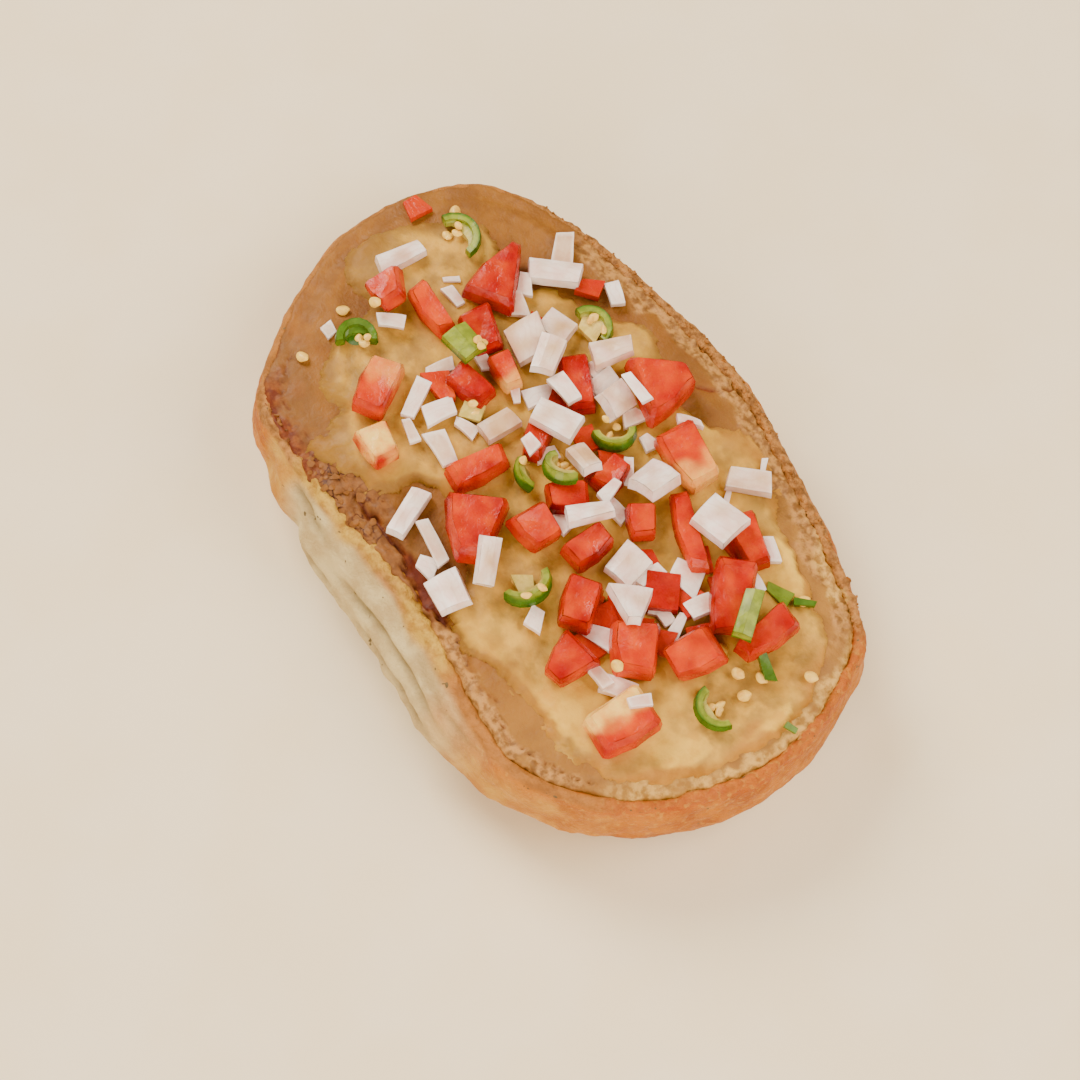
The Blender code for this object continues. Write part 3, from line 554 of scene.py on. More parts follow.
# %% The film and its edge
FILM = 0.4                             # how thick the film lies on the rim
ragged = grid_bumps(5, 11)
left_end = ramp(-GRID_X - 0.6 * GRID_Y, 10, 30)
smear = np.clip(0.9 + 1.5 * left_end + 0.5 * ragged, 0.3, 2.7)
spread_mask = bean_depth > -smear - 1.3
rounding = ramp(bean_depth + smear, -1.3, 0.5)
rim_top = np.where(~bean_mask & (crust_top > CUT_HEIGHT - 1.0), crust_top, np.nan)
inside = ramp(bean_depth, -0.3, 2.6)
bean_level = inside * smooth(beans_top, 3.0) + (1 - inside) * (smooth(rim_top, 1.5) + FILM)
film = 0.34 * grid_bumps(15, 12)       # broad swells, then strokes of the knife, then grain
film += 0.2 * grid_bumps(5.5, 13, (0.45, 1)) + 0.05 * grid_bumps(1.8, 14)
film *= ramp(bean_depth, -1.5, 2.0)
print("film on the rim at about %.1f mm" % np.nanmedian(bean_level[spread_mask & ~bean_mask]))

# %% Dried crumbs, cracks and the gap along the near edge


def from_line(places):
    """How far each cell is from a line through places on the cut face."""
    nearest = np.full(GRID_X.shape, 99.0)
    for (ax, ay), (bx, by) in zip(places, places[1:]):
        run = (bx - ax, by - ay)
        share = ((GRID_X - ax) * run[0] + (GRID_Y - ay) * run[1]) / (run[0] ** 2 + run[1] ** 2)
        share = np.clip(share, 0, 1)
        away = np.hypot(GRID_X - ax - share * run[0], GRID_Y - ay - share * run[1])
        nearest = np.minimum(nearest, away)
    return nearest + 0.35 * grid_bumps(3, 18)


# Lines along which the film is cracked or folded up, as places on the cut face.
END_CRACK = ((-64.4, -29.4), (-59.9, -36.7), (-55.9, -39.9), (-51.6, -39.6), (-43.4, -40.6))
FAR_CRACK = ((-4.2, 42.9), (-1.7, 45.9), (-0.3, 49.1), (0.4, 52.2))
FAR_FOLD = ((-3.2, 36.3), (-3.3, 42.3), (3.5, 43.5))
near_side = ramp(-GRID_Y, 24, 30)
along = GRID_X + 2.5 * ragged
dried = stretch_of(along, -36, -8, 3)
strip_width = (2.0 * stretch_of(along, -57, 14, 3) + 5.0 * dried) * near_side
strip = ramp(strip_width + 1.2 * ragged - bean_depth, -0.6, 0.9) * (strip_width > 0.3)
gap_width = (0.45 + 0.9 * stretch_of(along, -3, 12, 3)) * stretch_of(along, -21, 14, 2)
gap_line = np.abs(bean_depth - 1.3 - 0.7 * grid_bumps(8, 17) - 0.4 * grid_bumps(2.4, 33))
gap = near_side * ramp(gap_width - gap_line, -0.35, 0.3)
seam = stretch_of(along, -57, -31, 3) * near_side
seam *= ramp(0.5 + 0.7 * ragged - bean_depth, -0.5, 0.7)
fine_crack = np.maximum(ramp(-from_line(END_CRACK), -0.8, -0.1),
                        ramp(-from_line(FAR_CRACK), -0.6, -0.1))
crumble = 0.45 * grid_bumps(2.4, 15) + 0.25 * grid_bumps(1.3, 16)
print("dried strip %.0f mm2, gap %.0f mm2" % (strip.sum() * STEP**2, gap.sum() * STEP**2))

# %% Grains of the far rim and bare crumb at the right end
far_side = ramp(GRID_Y, 18, 30) * stretch_of(GRID_X, -50, 62, 4)
grainy = far_side * ramp(3.2 + 2.2 * grid_bumps(6, 19) - bean_depth, -0.5, 0.8)
right_end = ramp(GRID_X + 0.35 * GRID_Y + 2 * ragged, 50, 60)
near_lip = near_side * stretch_of(along, 12, 58, 3)
near_lip *= ramp(1.1 + 1.6 * grid_bumps(3.5, 36) - bean_depth, -0.4, 0.6)
grainy = np.maximum(grainy, near_lip)
bare_beans = 0.8 * right_end * ramp(0.6 + 2.4 * grid_bumps(5, 35) - bean_depth, -0.8, 1.0)
pits = ramp(grid_bumps(1.9, 20), 0.15, 0.75)
HOLLOW_FLOOR = 24.7    # the film's underside over the hollow of the roll
RIM_FLOOR = CUT_HEIGHT - 4.5
GAP_DEPTH, CRACK_DEPTH, ROUND_DROP = 2.2, 0.7, 4.0
bean_height = bean_level + film * (1 - strip)
bean_height += strip * crumble * 1.2 - GAP_DEPTH * gap - CRACK_DEPTH * fine_crack
bean_height += 0.5 * ramp(-from_line(FAR_FOLD), -3.0, 0.0)
bean_height += grainy * (0.5 * grid_bumps(2.6, 26) + 0.4 * grid_bumps(1.4, 27))
bean_height += bare_beans * (0.25 * crumble - 0.5 * pits)
bean_height -= (1 - rounding) * ROUND_DROP
bean_floor = np.where(bean_mask, HOLLOW_FLOOR, RIM_FLOOR)
bean_height = np.maximum(bean_height, bean_floor + 0.15)
print("beans' top from %.1f to %.1f mm" % (bean_height[spread_mask].min(),
                                            bean_height[spread_mask].max()))

# %% [markdown]
# Where toppings press into the cheese it rises round them, and the juice of the tomato
# reddens the cheese and the beans.

# %% Where toppings stand
UNDERNEATH = 20.0      # below every topping, where rays start up
TOPPING_REACH = 3.4    # a topping that starts higher than this stands on another one
toppings = [name for name in nodes if name.split("_")[0] in ("tomato", "onion", "chile")]
topping_tree = solid_tree(toppings)
tomato_tree = solid_tree([name for name in toppings if name.startswith("tomato")])
footprint = np.zeros(GRID_X.shape)
tomato_print = np.zeros(GRID_X.shape)
for i, x in enumerate(COLUMNS):
    for j, y in enumerate(ROWS):
        if bean_mask[i, j]:
            above = bean_level[i, j] + TOPPING_REACH
            hit = topping_tree.ray_cast((x, y, UNDERNEATH), (0, 0, 1))[0]
            footprint[i, j] = hit is not None and hit.z < above
            hit = tomato_tree.ray_cast((x, y, UNDERNEATH), (0, 0, 1))[0]
            tomato_print[i, j] = hit is not None and hit.z < above
juice = np.clip(1.5 * smooth(tomato_print, 1.6) - 0.1 + 0.25 * grid_bumps(7, 28), 0, 1)
print("toppings stand on %.0f mm2" % (footprint.sum() * STEP**2))

# %% [markdown]
# The film is a satin tan: mashed starch and lard, a little moist. Painted light makes it
# lightest towards the right, and it is browner at the left end. Near the crack painted shade
# makes it a darker, greyer brown, and painted shade darkens the cracks, which go down to the
# dark wet mash.

# %% Finish of refried beans
# Refried beans: a soft satin tan; the cracks are dark red-brown wet mash with painted shade.
FLAKE_SIZE = 2.8                       # mm between the cracks of the dried film
BEND = 0.003           # how much noise bends those cracks
beans_finish, tree, shader = new_finish(
    "refried_beans", IOR=1.42, Specular_IOR_Level=0.35, Subsurface_Weight=0.12,
    Subsurface_Radius=(1.0, 0.5, 0.3), Subsurface_Scale=1.2 * MM)
place = add(tree, "TexCoord", "Object")
bent = add(tree, "TexNoise", "Color", None, {"Vector": place, "Scale": 1000 / 2.5})
bent = add(tree, "Mix", 1, {"data_type": "VECTOR"}, {"Factor": BEND, 4: place, 5: bent})
# The dried film's fine cracks: thin dark lines of painted shade over the dark wet mash, with no
# relief of their own.
split = add(tree, "TexVoronoi", "Distance", {"feature": "DISTANCE_TO_EDGE"}, {
    "Vector": bent, "Scale": 1000 / FLAKE_SIZE})
split = add(tree, "MapRange", "Result", {"interpolation_type": "SMOOTHSTEP"}, {
    "Value": split, "From Min": 0.02, "From Max": 0.09, "To Min": 1.0, "To Max": 0.0})
flaky = add(tree, "Attribute", "Fac", {"attribute_name": "flaky"})
split = add(tree, "Math", 0, {"operation": "MULTIPLY"}, {0: split, 1: flaky})
split = add(tree, "Math", 0, {"operation": "MULTIPLY"}, {
    0: split, 1: patches(tree, 5, 0.44, 0.56, 0.0, 1.0)})
finish_off(
    tree, shader, (0.5, 0.66), 1.1, 0.16,
    ("#8C5A1C", "#784812", 17), ("#9C6C34", "#8C5C28", 8, (5, 0.5, 0.8, 0, 0.6)),
    # painted light: the first layer on the line below makes the film lighter towards the right
    ("#A6762F", "#92642A", 8, "sunlit"), ("#94601E", "#7C4C12", 5, "toasted"),
    # painted shade: the first layer on the line below, a darker, greyer brown near the crack and
    # at the left end
    ("#6C4720", "#7A5024", 6, "painted_shade"), ("#A8521A", "#984414", 6, "juice"),
    ("#845426", "#6A401A", 2.6, "dry"), ("#B88646", "#7C5222", 1.8, "grainy"),
    ("#DCB05C", "#9E722C", 1.8, "bare"), ("#5C1E06", "#84461A", 1.8, "seam"),
    # painted shade: the fine cracks, the gap and the cracks of the film darkened over the dark wet
    # mash
    ("#3E1A06", "#50260E", 3, split), ("#5A1C04", "#74300C", 3, "dark"))
# Painted light: the film grows lighter towards the right.
sunlit = ramp(GRID_X + 0.4 * GRID_Y, 0, 45)
# Painted shade: darker and greyer on the near side by the crack, and in patches at the left end.
painted_shade = ramp(9 + 4 * grid_bumps(14, 29) - bean_depth, -2, 4) * ramp(-GRID_X, -16, -4)
left_painted_shade = 0.6 * ramp(grid_bumps(11, 30), 0.15, 0.6) * ramp(-GRID_X, 36, 46)
painted_shade = near_side * np.maximum(painted_shade, left_painted_shade)
toasted = left_end * ramp(7 + 5 * grid_bumps(9, 34) - bean_depth, -2, 3)
points, faces, used = slab(bean_height, bean_floor, spread_mask)
beans = make_piece("bean_spread", points, faces, beans_finish, both_sides({
    "painted_shade": 0.6 * painted_shade, "juice": 0.5 * juice, "dry": strip,
    "flaky": strip * dried, "grainy": grainy, "seam": 0.9 * seam,
    # painted light, lighter towards the right
    "sunlit": 0.8 * sunlit,
    "toasted": 0.8 * toasted * (1 - strip), "bare": bare_beans,
    # painted shade in the gap and the cracks, over the dark wet mash
    "dark": np.clip(gap + 0.8 * fine_crack, 0, 1)}, used))
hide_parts("beans")

# %% [markdown]
# ## The cheese
# Melted cheese flows until it cools: it lies in a thin sheet with a rounded lip, thick in
# lobes and nearly clear between, and clings to what was dropped on it while hot. The solid
# says where it is; its lip, its thick and thin places and its rise round the toppings are
# added.

# %% Heights of the cheese
CHEESE_THICK = 1.75    # in the middle of the sheet
TOPPING_RISE = 0.75    # how far cheese rises round a topping
cheese_mask = np.isfinite(cheese_top)
cheese_depth = inside_distance(cheese_mask) - inside_distance(~cheese_mask)
cheese_depth += 1.0 * grid_bumps(6, 21) + 0.45 * grid_bumps(2.4, 22) - 1.6 * right_end
lobes = grid_bumps(17, 23)
lip_width = 3.0 + 4.0 * ramp(-lobes, -0.3, 0.5)
lip = np.clip(cheese_depth / lip_width, 0, 1)
thickness = CHEESE_THICK * np.maximum(0, 1 - (1 - lip) ** 2) ** 0.7
thickness *= 1 + 0.2 * lobes
thickness += 0.3 * np.exp(-(((cheese_depth - 2.4) / 1.3) ** 2)) * ramp(lobes, -0.2, 0.6)
thickness += 0.2 * grid_bumps(6, 24) + 0.12 * grid_bumps(2.8, 25)
rise = TOPPING_RISE * np.clip(smooth(footprint, 1.1), 0, 1) * ramp(cheese_depth, 0.5, 2.0)
cheese_height = bean_level + film + thickness + rise
sheet_mask = (cheese_depth > -0.6) & spread_mask
cheese_height = np.where(cheese_depth > 0, cheese_height, bean_level - 0.5)
cheese_floor = np.minimum(bean_level - 0.9, cheese_height - 0.2)
print("cheese up to %.1f mm thick" % thickness[sheet_mask].max())

# %% [markdown]
# Melted cheese is a soft, fatty, slightly see-through solid with a moist gloss. Thick places
# look yellow, thin ones take the tan of the beans below. Painted light makes the sheet lighter
# and yellower towards the right.

# %% Finish of melted cheese
# Melted cheese: moist, smooth and half clear, so its edges take the colour under them.
cheese_finish, tree, shader = new_finish(
    "melted_cheese", IOR=1.45, Subsurface_Weight=0.3, Subsurface_Radius=(1.0, 0.7, 0.35),
    Subsurface_Scale=2.0 * MM, Specular_IOR_Level=0.2)
mottled = add(tree, "Math", 0, {"operation": "MULTIPLY"}, {
    0: add(tree, "Attribute", "Fac", {"attribute_name": "thick"}),
    1: patches(tree, 6, 0.42, 0.64, 0, 0.8)})
finish_off(
    tree, shader, (0.42, 0.6), 1.8, 0.16,
    # painted light: the second layer on the line below makes the cheese lighter towards the right
    ("#966C2A", "#865E24", 9), ("#C48A34", "#AC7426", 5, "sunlit"),
    ("#B88E3C", "#9E7630", 5, "thick"), ("#DCAC44", "#C89636", 4, mottled),
    ("#E4B848", "#D2A038", 4, "lobe"), ("#B4601C", "#A65218", 6, "juice"))
points, faces, used = slab(cheese_height, cheese_floor, sheet_mask)
# Painted light also lets the yellow of thick cheese reach nearer its lip towards the right.
cover = ramp(cheese_depth + 2.5 * grid_bumps(9, 31), 0.2, 6.5 - 2.5 * sunlit)
lobe = ramp(thickness + 0.55 * lobes + 0.3 * grid_bumps(9, 32), 1.65, 2.3)
cheese = make_piece("cheese_sheet", points, faces, cheese_finish, both_sides({
    # the lobes' yellow is partly painted light, stronger towards the right
    "thick": cover, "lobe": (0.45 + 0.55 * sunlit) * lobe, "juice": 0.6 * juice,
    "sunlit": 0.8 * sunlit}, used))
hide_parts("cheese")

# %% [markdown]
# ## The toppings
# Each topping is dressed over its own solid: a fine even mesh whose flat cut faces and nearly
# sharp edges are kept, with the little relief of its flesh. A frame of its own, along its
# length, across its width and through its thickness, says where skin and layers lie.

# %% Dress a topping


def own_frame(points):
    """Places along, across and through a piece from -1 to 1, in mm too, and its directions."""
    centred = points - points.mean(0)
    _, _, axes = np.linalg.svd(centred, full_matrices=False)
    local = centred @ axes.T
    return local / np.abs(local).max(0), local, axes


CUT_ANGLE = 32         # degrees between faces from which a cut edge stays sharp
CLEARANCE = 0.04       # how far a dressed face lies outside its solid
HALVINGS = 12          # enough to cut the longest edge short
PINK_REACH = 2.6       # how far from a tomato its juice still shows


def dressed(name, longest, relief, size, seed):
    """Points with a relief in mm, and faces, of a topping cut into small triangles."""
    mesh = bmesh.new()
    mesh.from_mesh(nodes[name].data)
    bmesh.ops.triangulate(mesh, faces=mesh.faces[:])
    limit = longest * MM * 1
    for _ in range(HALVINGS):
        wanted = [edge for edge in mesh.edges if edge.calc_length() > limit]
        if not wanted:
            break
        bmesh.ops.subdivide_edges(mesh, edges=wanted, cuts=1)
        bmesh.ops.triangulate(mesh, faces=mesh.faces[:], quad_method="SHORT_EDGE")
    mesh.normal_update()
    points = np.array([vertex.co[:] for vertex in mesh.verts]) / MM - (ZERO.x, ZERO.y, 0)
    normals = np.array([vertex.normal[:] for vertex in mesh.verts])
    mesh.verts.index_update()
    faces = [tuple(vertex.index for vertex in face.verts) for face in mesh.faces]
    mesh.free()
    lift = CLEARANCE + relief * (bumps(points, size, seed) + 0.4 * bumps(points, 0.4 * size, seed))
    return points + normals * lift[:, None], faces


def near_tomato(points):
    """How much of the tomato's red a piece takes at each point, by how near one lies."""
    reach = np.array([tomato_tree.find_nearest(Vector(p))[3] for p in points])
    return ramp(-reach, -PINK_REACH, -0.2)


# %% [markdown]
# Ripe tomato: red wet flesh of tiny cells, a thin glossy deeper red skin on the outer
# side, and a pale core near the stem. How pale each piece is, and how much of it is core,
# is written for each piece.

# %% Finish of cut tomato
# Cut tomato: wet, see-through flesh, so light goes in and comes out red.
tomato_finish, tree, shader = new_finish(
    "cut_tomato", IOR=1.36, Subsurface_Weight=0.25, Subsurface_Radius=(1.0, 0.22, 0.1),
    Subsurface_Scale=1.5 * MM, Specular_IOR_Level=0.35, Coat_Weight=0.05,
    Coat_Roughness=0.12)
finish_off(
    tree, shader, (0.14, 0.36), 0.9, 0.1,
    ("#960301", "#AE1003", 6), ("#C42E02", "#D84A08", 5, "pale"),
    ("#F8CC68", "#EEA848", 4, "core"), ("#800200", "#900401", 5, "skin"),
    ("#CC3A0E", "#DC5C20", 2, (2.6, 0.5, 0.8, 0, 0.4)))

# %% Dice of tomato
PALENESS = (  # of each piece in turn
    0.15, 0.10, 0.80, 0.65, 0.75, 0.45, 0.80, 0.10, 0.15, 0.55, 0.00, 0.50, 0.35, 0.60,
    0.40, 0.50, 0.80, 0.65, 0.65, 0.35, 0.45, 0.60, 0.55, 0.50, 0.40, 0.95, 0.40, 0.60)
# number: how much core, and towards where on the picture it lies, in degrees from the
# right, or None for the middle
CORES = {5: (0.4, 70), 7: (0.7, -70), 10: (0.6, -60), 17: (1, None), 28: (1, 120)}
for number, paleness in enumerate(PALENESS, 1):
    core, heading = CORES.get(number, (0, None))
    name = f"tomato_{number:02d}"
    points, faces = dressed(name, 0.8, 0.1, 3.2, 40 + number)
    share, _, _ = own_frame(points)
    mottle = bumps(points, 3.5, 60 + number)
    outer_side = share[:, 1] * (1 if number % 2 else -1)
    spot = 1 - np.abs(share[:, :2]).max(1)
    flesh = paleness + 0.45 * mottle + 0.6 * (spot - 0.35)
    if heading is not None:
        angle = math.radians(heading)
        spot = (points - points.mean(0)) @ (
            math.cos(angle) * image_right + math.sin(angle) * image_up)
        spot = spot / np.abs(spot).max()
    piece = make_piece(f"diced_{name}", points, faces, tomato_finish, {
        "pale": np.clip(flesh, 0, 1),
        "core": core * ramp(spot + 0.2 * mottle, -0.1, 0.4),
        "skin": ramp(outer_side, 0.7, 0.9) * (core < 0.5)}, sharp=CUT_ANGLE)
    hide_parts(name)

# %% [markdown]
# White onion: each dice is a few millimetres of one bulb layer, wet and half clear, with
# faint veins along it. Some pieces are bright, others glassy, and those that lie on
# tomato take its pink.

# %% Finish of cut onion
# Raw onion: wet, milky and half clear, with fine veins a millimetre or two apart.
VEIN_SPACING = 1.7
onion_finish, tree, shader = new_finish(
    "cut_onion", IOR=1.36, Subsurface_Weight=0.35, Subsurface_Radius=(1.0, 0.8, 0.7),
    Subsurface_Scale=2.2 * MM, Coat_Weight=0.1, Coat_Roughness=0.15)
across = add(tree, "Attribute", "Fac", {"attribute_name": "across"})
phase = add(tree, "Math", 0, {"operation": "MULTIPLY_ADD"}, {
    0: across, 1: math.tau / VEIN_SPACING, 2: patches(tree, 5, high=6.0)})
wave = add(tree, "Math", 0, {"operation": "SINE"}, {0: phase})
vein = add(tree, "MapRange", "Result", None, {
    "Value": wave, "From Min": 0.5, "From Max": 1.0, "To Max": 0.3})
finish_off(
    tree, shader, (0.16, 0.34), 1.0, 0.06,
    ("#FFF2EC", "#FADED6", 4), ("#E4C6B6", "#DCBAAA", 3, vein),
    ("#D6B288", "#CBA176", 4, "glassy"), ("#E39A84", "#DA8670", 4, "pink"),
    # painted highlight: the layer below whitens the pieces' cut edges
    ("#FEF4EC", "#FAEAE0", 4, "edge"))

# %% Dice of onion
# number: how glassy; the others are bright
GLASSY = {1: 0.45, 2: 0.85, 3: 0.5, 5: 0.5, 6: 0.4, 8: 0.4, 10: 0.75, 13: 0.4, 16: 0.5}
for number in range(1, 20):
    name = f"onion_{number:02d}"
    points, faces = dressed(name, 0.7, 0.06, 2.8, 90 + number)
    share, local, _ = own_frame(points)
    to_edge = np.abs(share[:, :2]).max(1)
    glassy = GLASSY.get(number, 0.15) + 0.35 * bumps(points, 4, 120 + number)
    piece = make_piece(f"diced_{name}", points, faces, onion_finish, {
        "across": local[:, 1], "glassy": np.clip(glassy + 0.3 * (1 - to_edge), 0, 1),
        # painted highlight along the edges of the piece
        "edge": 0.7 * ramp(to_edge, 0.86, 0.98),
        "pink": 0.55 * near_tomato(points)}, sharp=CUT_ANGLE)
    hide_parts(name)

# %% [markdown]
# Green chile: a waxy dark green skin outside, paler wet flesh inside, and a cream core that
# holds flat oval seeds. A ring's skin is what lies furthest from the ring's middle.

# %% Finish of green chile
# Green chile: waxy skin with a clear gloss over wet, see-through flesh.
chile_finish, tree, shader = new_finish(
    "green_chile", IOR=1.4, Subsurface_Weight=0.15, Subsurface_Radius=(0.6, 1.0, 0.25),
    Subsurface_Scale=1.0 * MM, Specular_IOR_Level=0.35, Coat_Weight=0.1, Coat_Roughness=0.15)
finish_off(
    tree, shader, (0.26, 0.42), 0.9, 0.06,
    ("#8E9C2E", "#707E20", 2.5), ("#2C5408", "#3E6A10", 3, "skin"),
    ("#DCC26A", "#C8AE52", 1.5, "core"))

# %% Rings and strips of chile
CUP_RING = 2           # this one is the end of a chile, dark skin all over
RING_SIZES = {  # number: the ring's middle as seen, and its radius
    1: (-65.0, 17.6, 6.3), 2: (-54.4, -15.2, 4.9), 3: (-29.0, 30.4, 5.6),
    4: (-4.2, 20.4, 5.2), 5: (-1.8, 5.0, 4.9), 6: (-8.2, 0.6, 5.2), 7: (61.2, 2.6, 5.6),
    8: (15.8, -16.2, 6.0),
}


def ring_middle(points, guess, radius):
    """The place near a guess from which a ring's furthest points lie at its radius."""
    best = None
    for dx in np.arange(-2.4, 2.5, 0.4):
        for dy in np.arange(-2.4, 2.5, 0.4):
            reach = np.linalg.norm(points[:, :2] - (guess + (dx, dy)), axis=1)
            match = (np.abs(reach - radius) < 0.25).sum() - 3 * (reach > radius + 0.3).sum()
            if best is None or match > best[0]:
                best = (match, guess + (dx, dy))
    return best[1]


for number in range(1, 11):
    name = f"chile_{number:02d}"
    points, faces = dressed(name, 0.6, 0.03, 1.8, 150 + number)
    share, _, axes = own_frame(points)
    if number in RING_SIZES:
        x, y, radius = RING_SIZES[number]
        guess = np.array(true_place(x, y, points[:, 2].mean()))
        reach = np.linalg.norm(points[:, :2] - ring_middle(points, guess, radius), axis=1)
        skin, core = ramp(reach / radius, 0.84, 0.95), 0.6 * ramp(-reach / radius, -0.72, -0.55)
    else:
        skin = np.maximum(ramp(-share[:, 2] * np.sign(axes[2][2]), 0.1, 0.5),
                          0.8 * ramp(np.abs(share[:, 1]), 0.86, 0.98))
        core = np.zeros(len(points))
    if number == CUP_RING:
        skin, core = np.maximum(skin, 0.8), 0 * core
    piece = make_piece(f"cut_{name}", points, faces, chile_finish, {
        "skin": skin, "core": core}, sharp=CUT_ANGLE)
    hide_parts(name)

# %% [markdown]
# ## Small pieces
# Many small dice and seeds lie stuck to the beans and the cheese, or on bigger pieces.
# Each is a plate with flat cut faces that is dropped on whatever lies highest under it.
# Pieces of one kind make one mesh.

# %% Find where a small piece lands
all_tree = solid_tree(list(nodes))
spread_tree = solid_tree(["beans", "cheese"])
LEVEL_PULL = 2.0       # how strongly a piece is pulled level, against its support's slope
MOST_STEP = 1.2        # how far a neighbouring top may lift a piece over its own place


def landing(x, y, length, thick, below):
    """The true place, height and lean of a piece dropped at a place as it was seen."""
    height, slope = SEEN_HEIGHT, Vector((0, 0, 1))
    for _ in range(3):
        place = true_place(x, y, height + 0.5 * thick)
        reach = 0.3 * length
        found = []
        for dx, dy in ((0, 0), (reach, 0), (-reach, 0), (0, reach), (0, -reach)):
            start = (place.x + dx, place.y + dy, OVERHEAD)
            hit, normal, _, _ = below.ray_cast(start, (0, 0, -1))
            if hit is not None:
                found.append((hit.z, normal))
        if found:
            height = min(max(z for z, _ in found), found[0][0] + MOST_STEP)
            slope = sum((normal for _, normal in found), Vector((0, 0, LEVEL_PULL))).normalized()
    return Vector((*true_place(x, y, height + 0.5 * thick), height)), slope


class Pile:
    """Points, faces and marks of many small pieces, gathered into one mesh."""

    def __init__(self):
        self.points, self.faces, self.marks = [], [], {}

    def put(self, mesh, place, slope, turn, **marks):
        tilt = Vector((0, 0, 1)).rotation_difference(slope).to_matrix().to_4x4()
        move = Matrix.Translation(place) @ tilt @ Matrix.Rotation(math.radians(turn), 4, "Z")
        mesh.verts.index_update()
        first = len(self.points)
        self.points += [move @ vertex.co for vertex in mesh.verts]
        self.faces += [tuple(first + v.index for v in face.verts) for face in mesh.faces]
        marks["across"] = [vertex.co.y for vertex in mesh.verts]
        for name, value in marks.items():
            values = value if isinstance(value, list) else [value] * len(mesh.verts)
            self.marks.setdefault(name, []).extend(values)
        mesh.free()

    def drop(self, mesh, x, y, length, thick, sink, turn, below=all_tree, **marks):
        place, slope = landing(x, y, length, thick, below)
        self.put(mesh, place - Vector((0, 0, sink)), slope, turn, **marks)

    def make(self, name, finish):
        return make_piece(name, self.points, self.faces, finish, self.marks, CUT_ANGLE)


print("solids to land on:", len(nodes))

# %% Small plates, ovals and crumbs
noise.seed_set(1)      # noise vectors come from the clock unless a seed is set
CUTS = 5               # across each side of a plate
KNIFE_WAVE, WAVE_SIZE = 0.07, 1.5
HULL_POINTS = 13       # random points round which a crumb's hull is drawn


def cut_plate(length, width, thick, draw, bend=0.0):
    """A small piece as a knife leaves it: four uneven corners, flat faces, a slight bend."""
    mesh = bmesh.new()
    bmesh.ops.create_cube(mesh, size=1.0)
    slant, taper = draw.uniform(-0.35, 0.35), draw.uniform(-0.3, 0.3)
    pulls = [draw.uniform(-0.16, 0.08) for _ in range(8)]
    for vertex in mesh.verts:
        x, y, z = vertex.co
        corner = 2 * (x > 0) + (y > 0)
        y *= (1 + 2 * taper * x) * (1 + pulls[corner])
        x *= 1 + pulls[4 + corner]
        vertex.co = (x * length + slant * y * width, y * width,
                     (z + 0.5) * thick * draw.uniform(0.8, 1.1))
    bmesh.ops.subdivide_edges(mesh, edges=mesh.edges[:], cuts=CUTS, use_grid_fill=True)
    for vertex in mesh.verts:
        vertex.co.z += bend * (1 - (2 * vertex.co.x / length) ** 2)
        own_place = vertex.co / WAVE_SIZE + Vector((length, width, thick))
        vertex.co += KNIFE_WAVE * noise.noise_vector(own_place)
    return mesh


def oval(length, width, thick):
    """A flat seed, a little pointed at one end and bent."""
    mesh = bmesh.new()
    bmesh.ops.create_icosphere(mesh, subdivisions=3, radius=0.5)
    for vertex in mesh.verts:
        x, y, z = vertex.co
        y *= 1 - 1.4 * max(0, x - 0.2)
        vertex.co = (x * length, y * width, z * thick - 0.5 * thick * (2 * y) ** 2)
    return mesh


def crumb(size, flatness, draw):
    """A broken crumb: the hull of a few random points, with flat sides and sharp corners."""
    mesh = bmesh.new()
    sides = Vector((size, size * draw.uniform(0.6, 1.0), size * flatness))
    for _ in range(HULL_POINTS):
        point = Vector([draw.gauss(0, 1) for _ in range(3)]).normalized()
        mesh.verts.new(0.5 * point * sides * draw.uniform(0.75, 1.0))
    hull = bmesh.ops.convex_hull(mesh, input=mesh.verts[:])
    spare = {v for v in hull["geom_interior"] if isinstance(v, bmesh.types.BMVert)}
    bmesh.ops.delete(mesh, geom=list(spare), context="VERTS")
    return mesh


print("crumbs have about 20 faces")

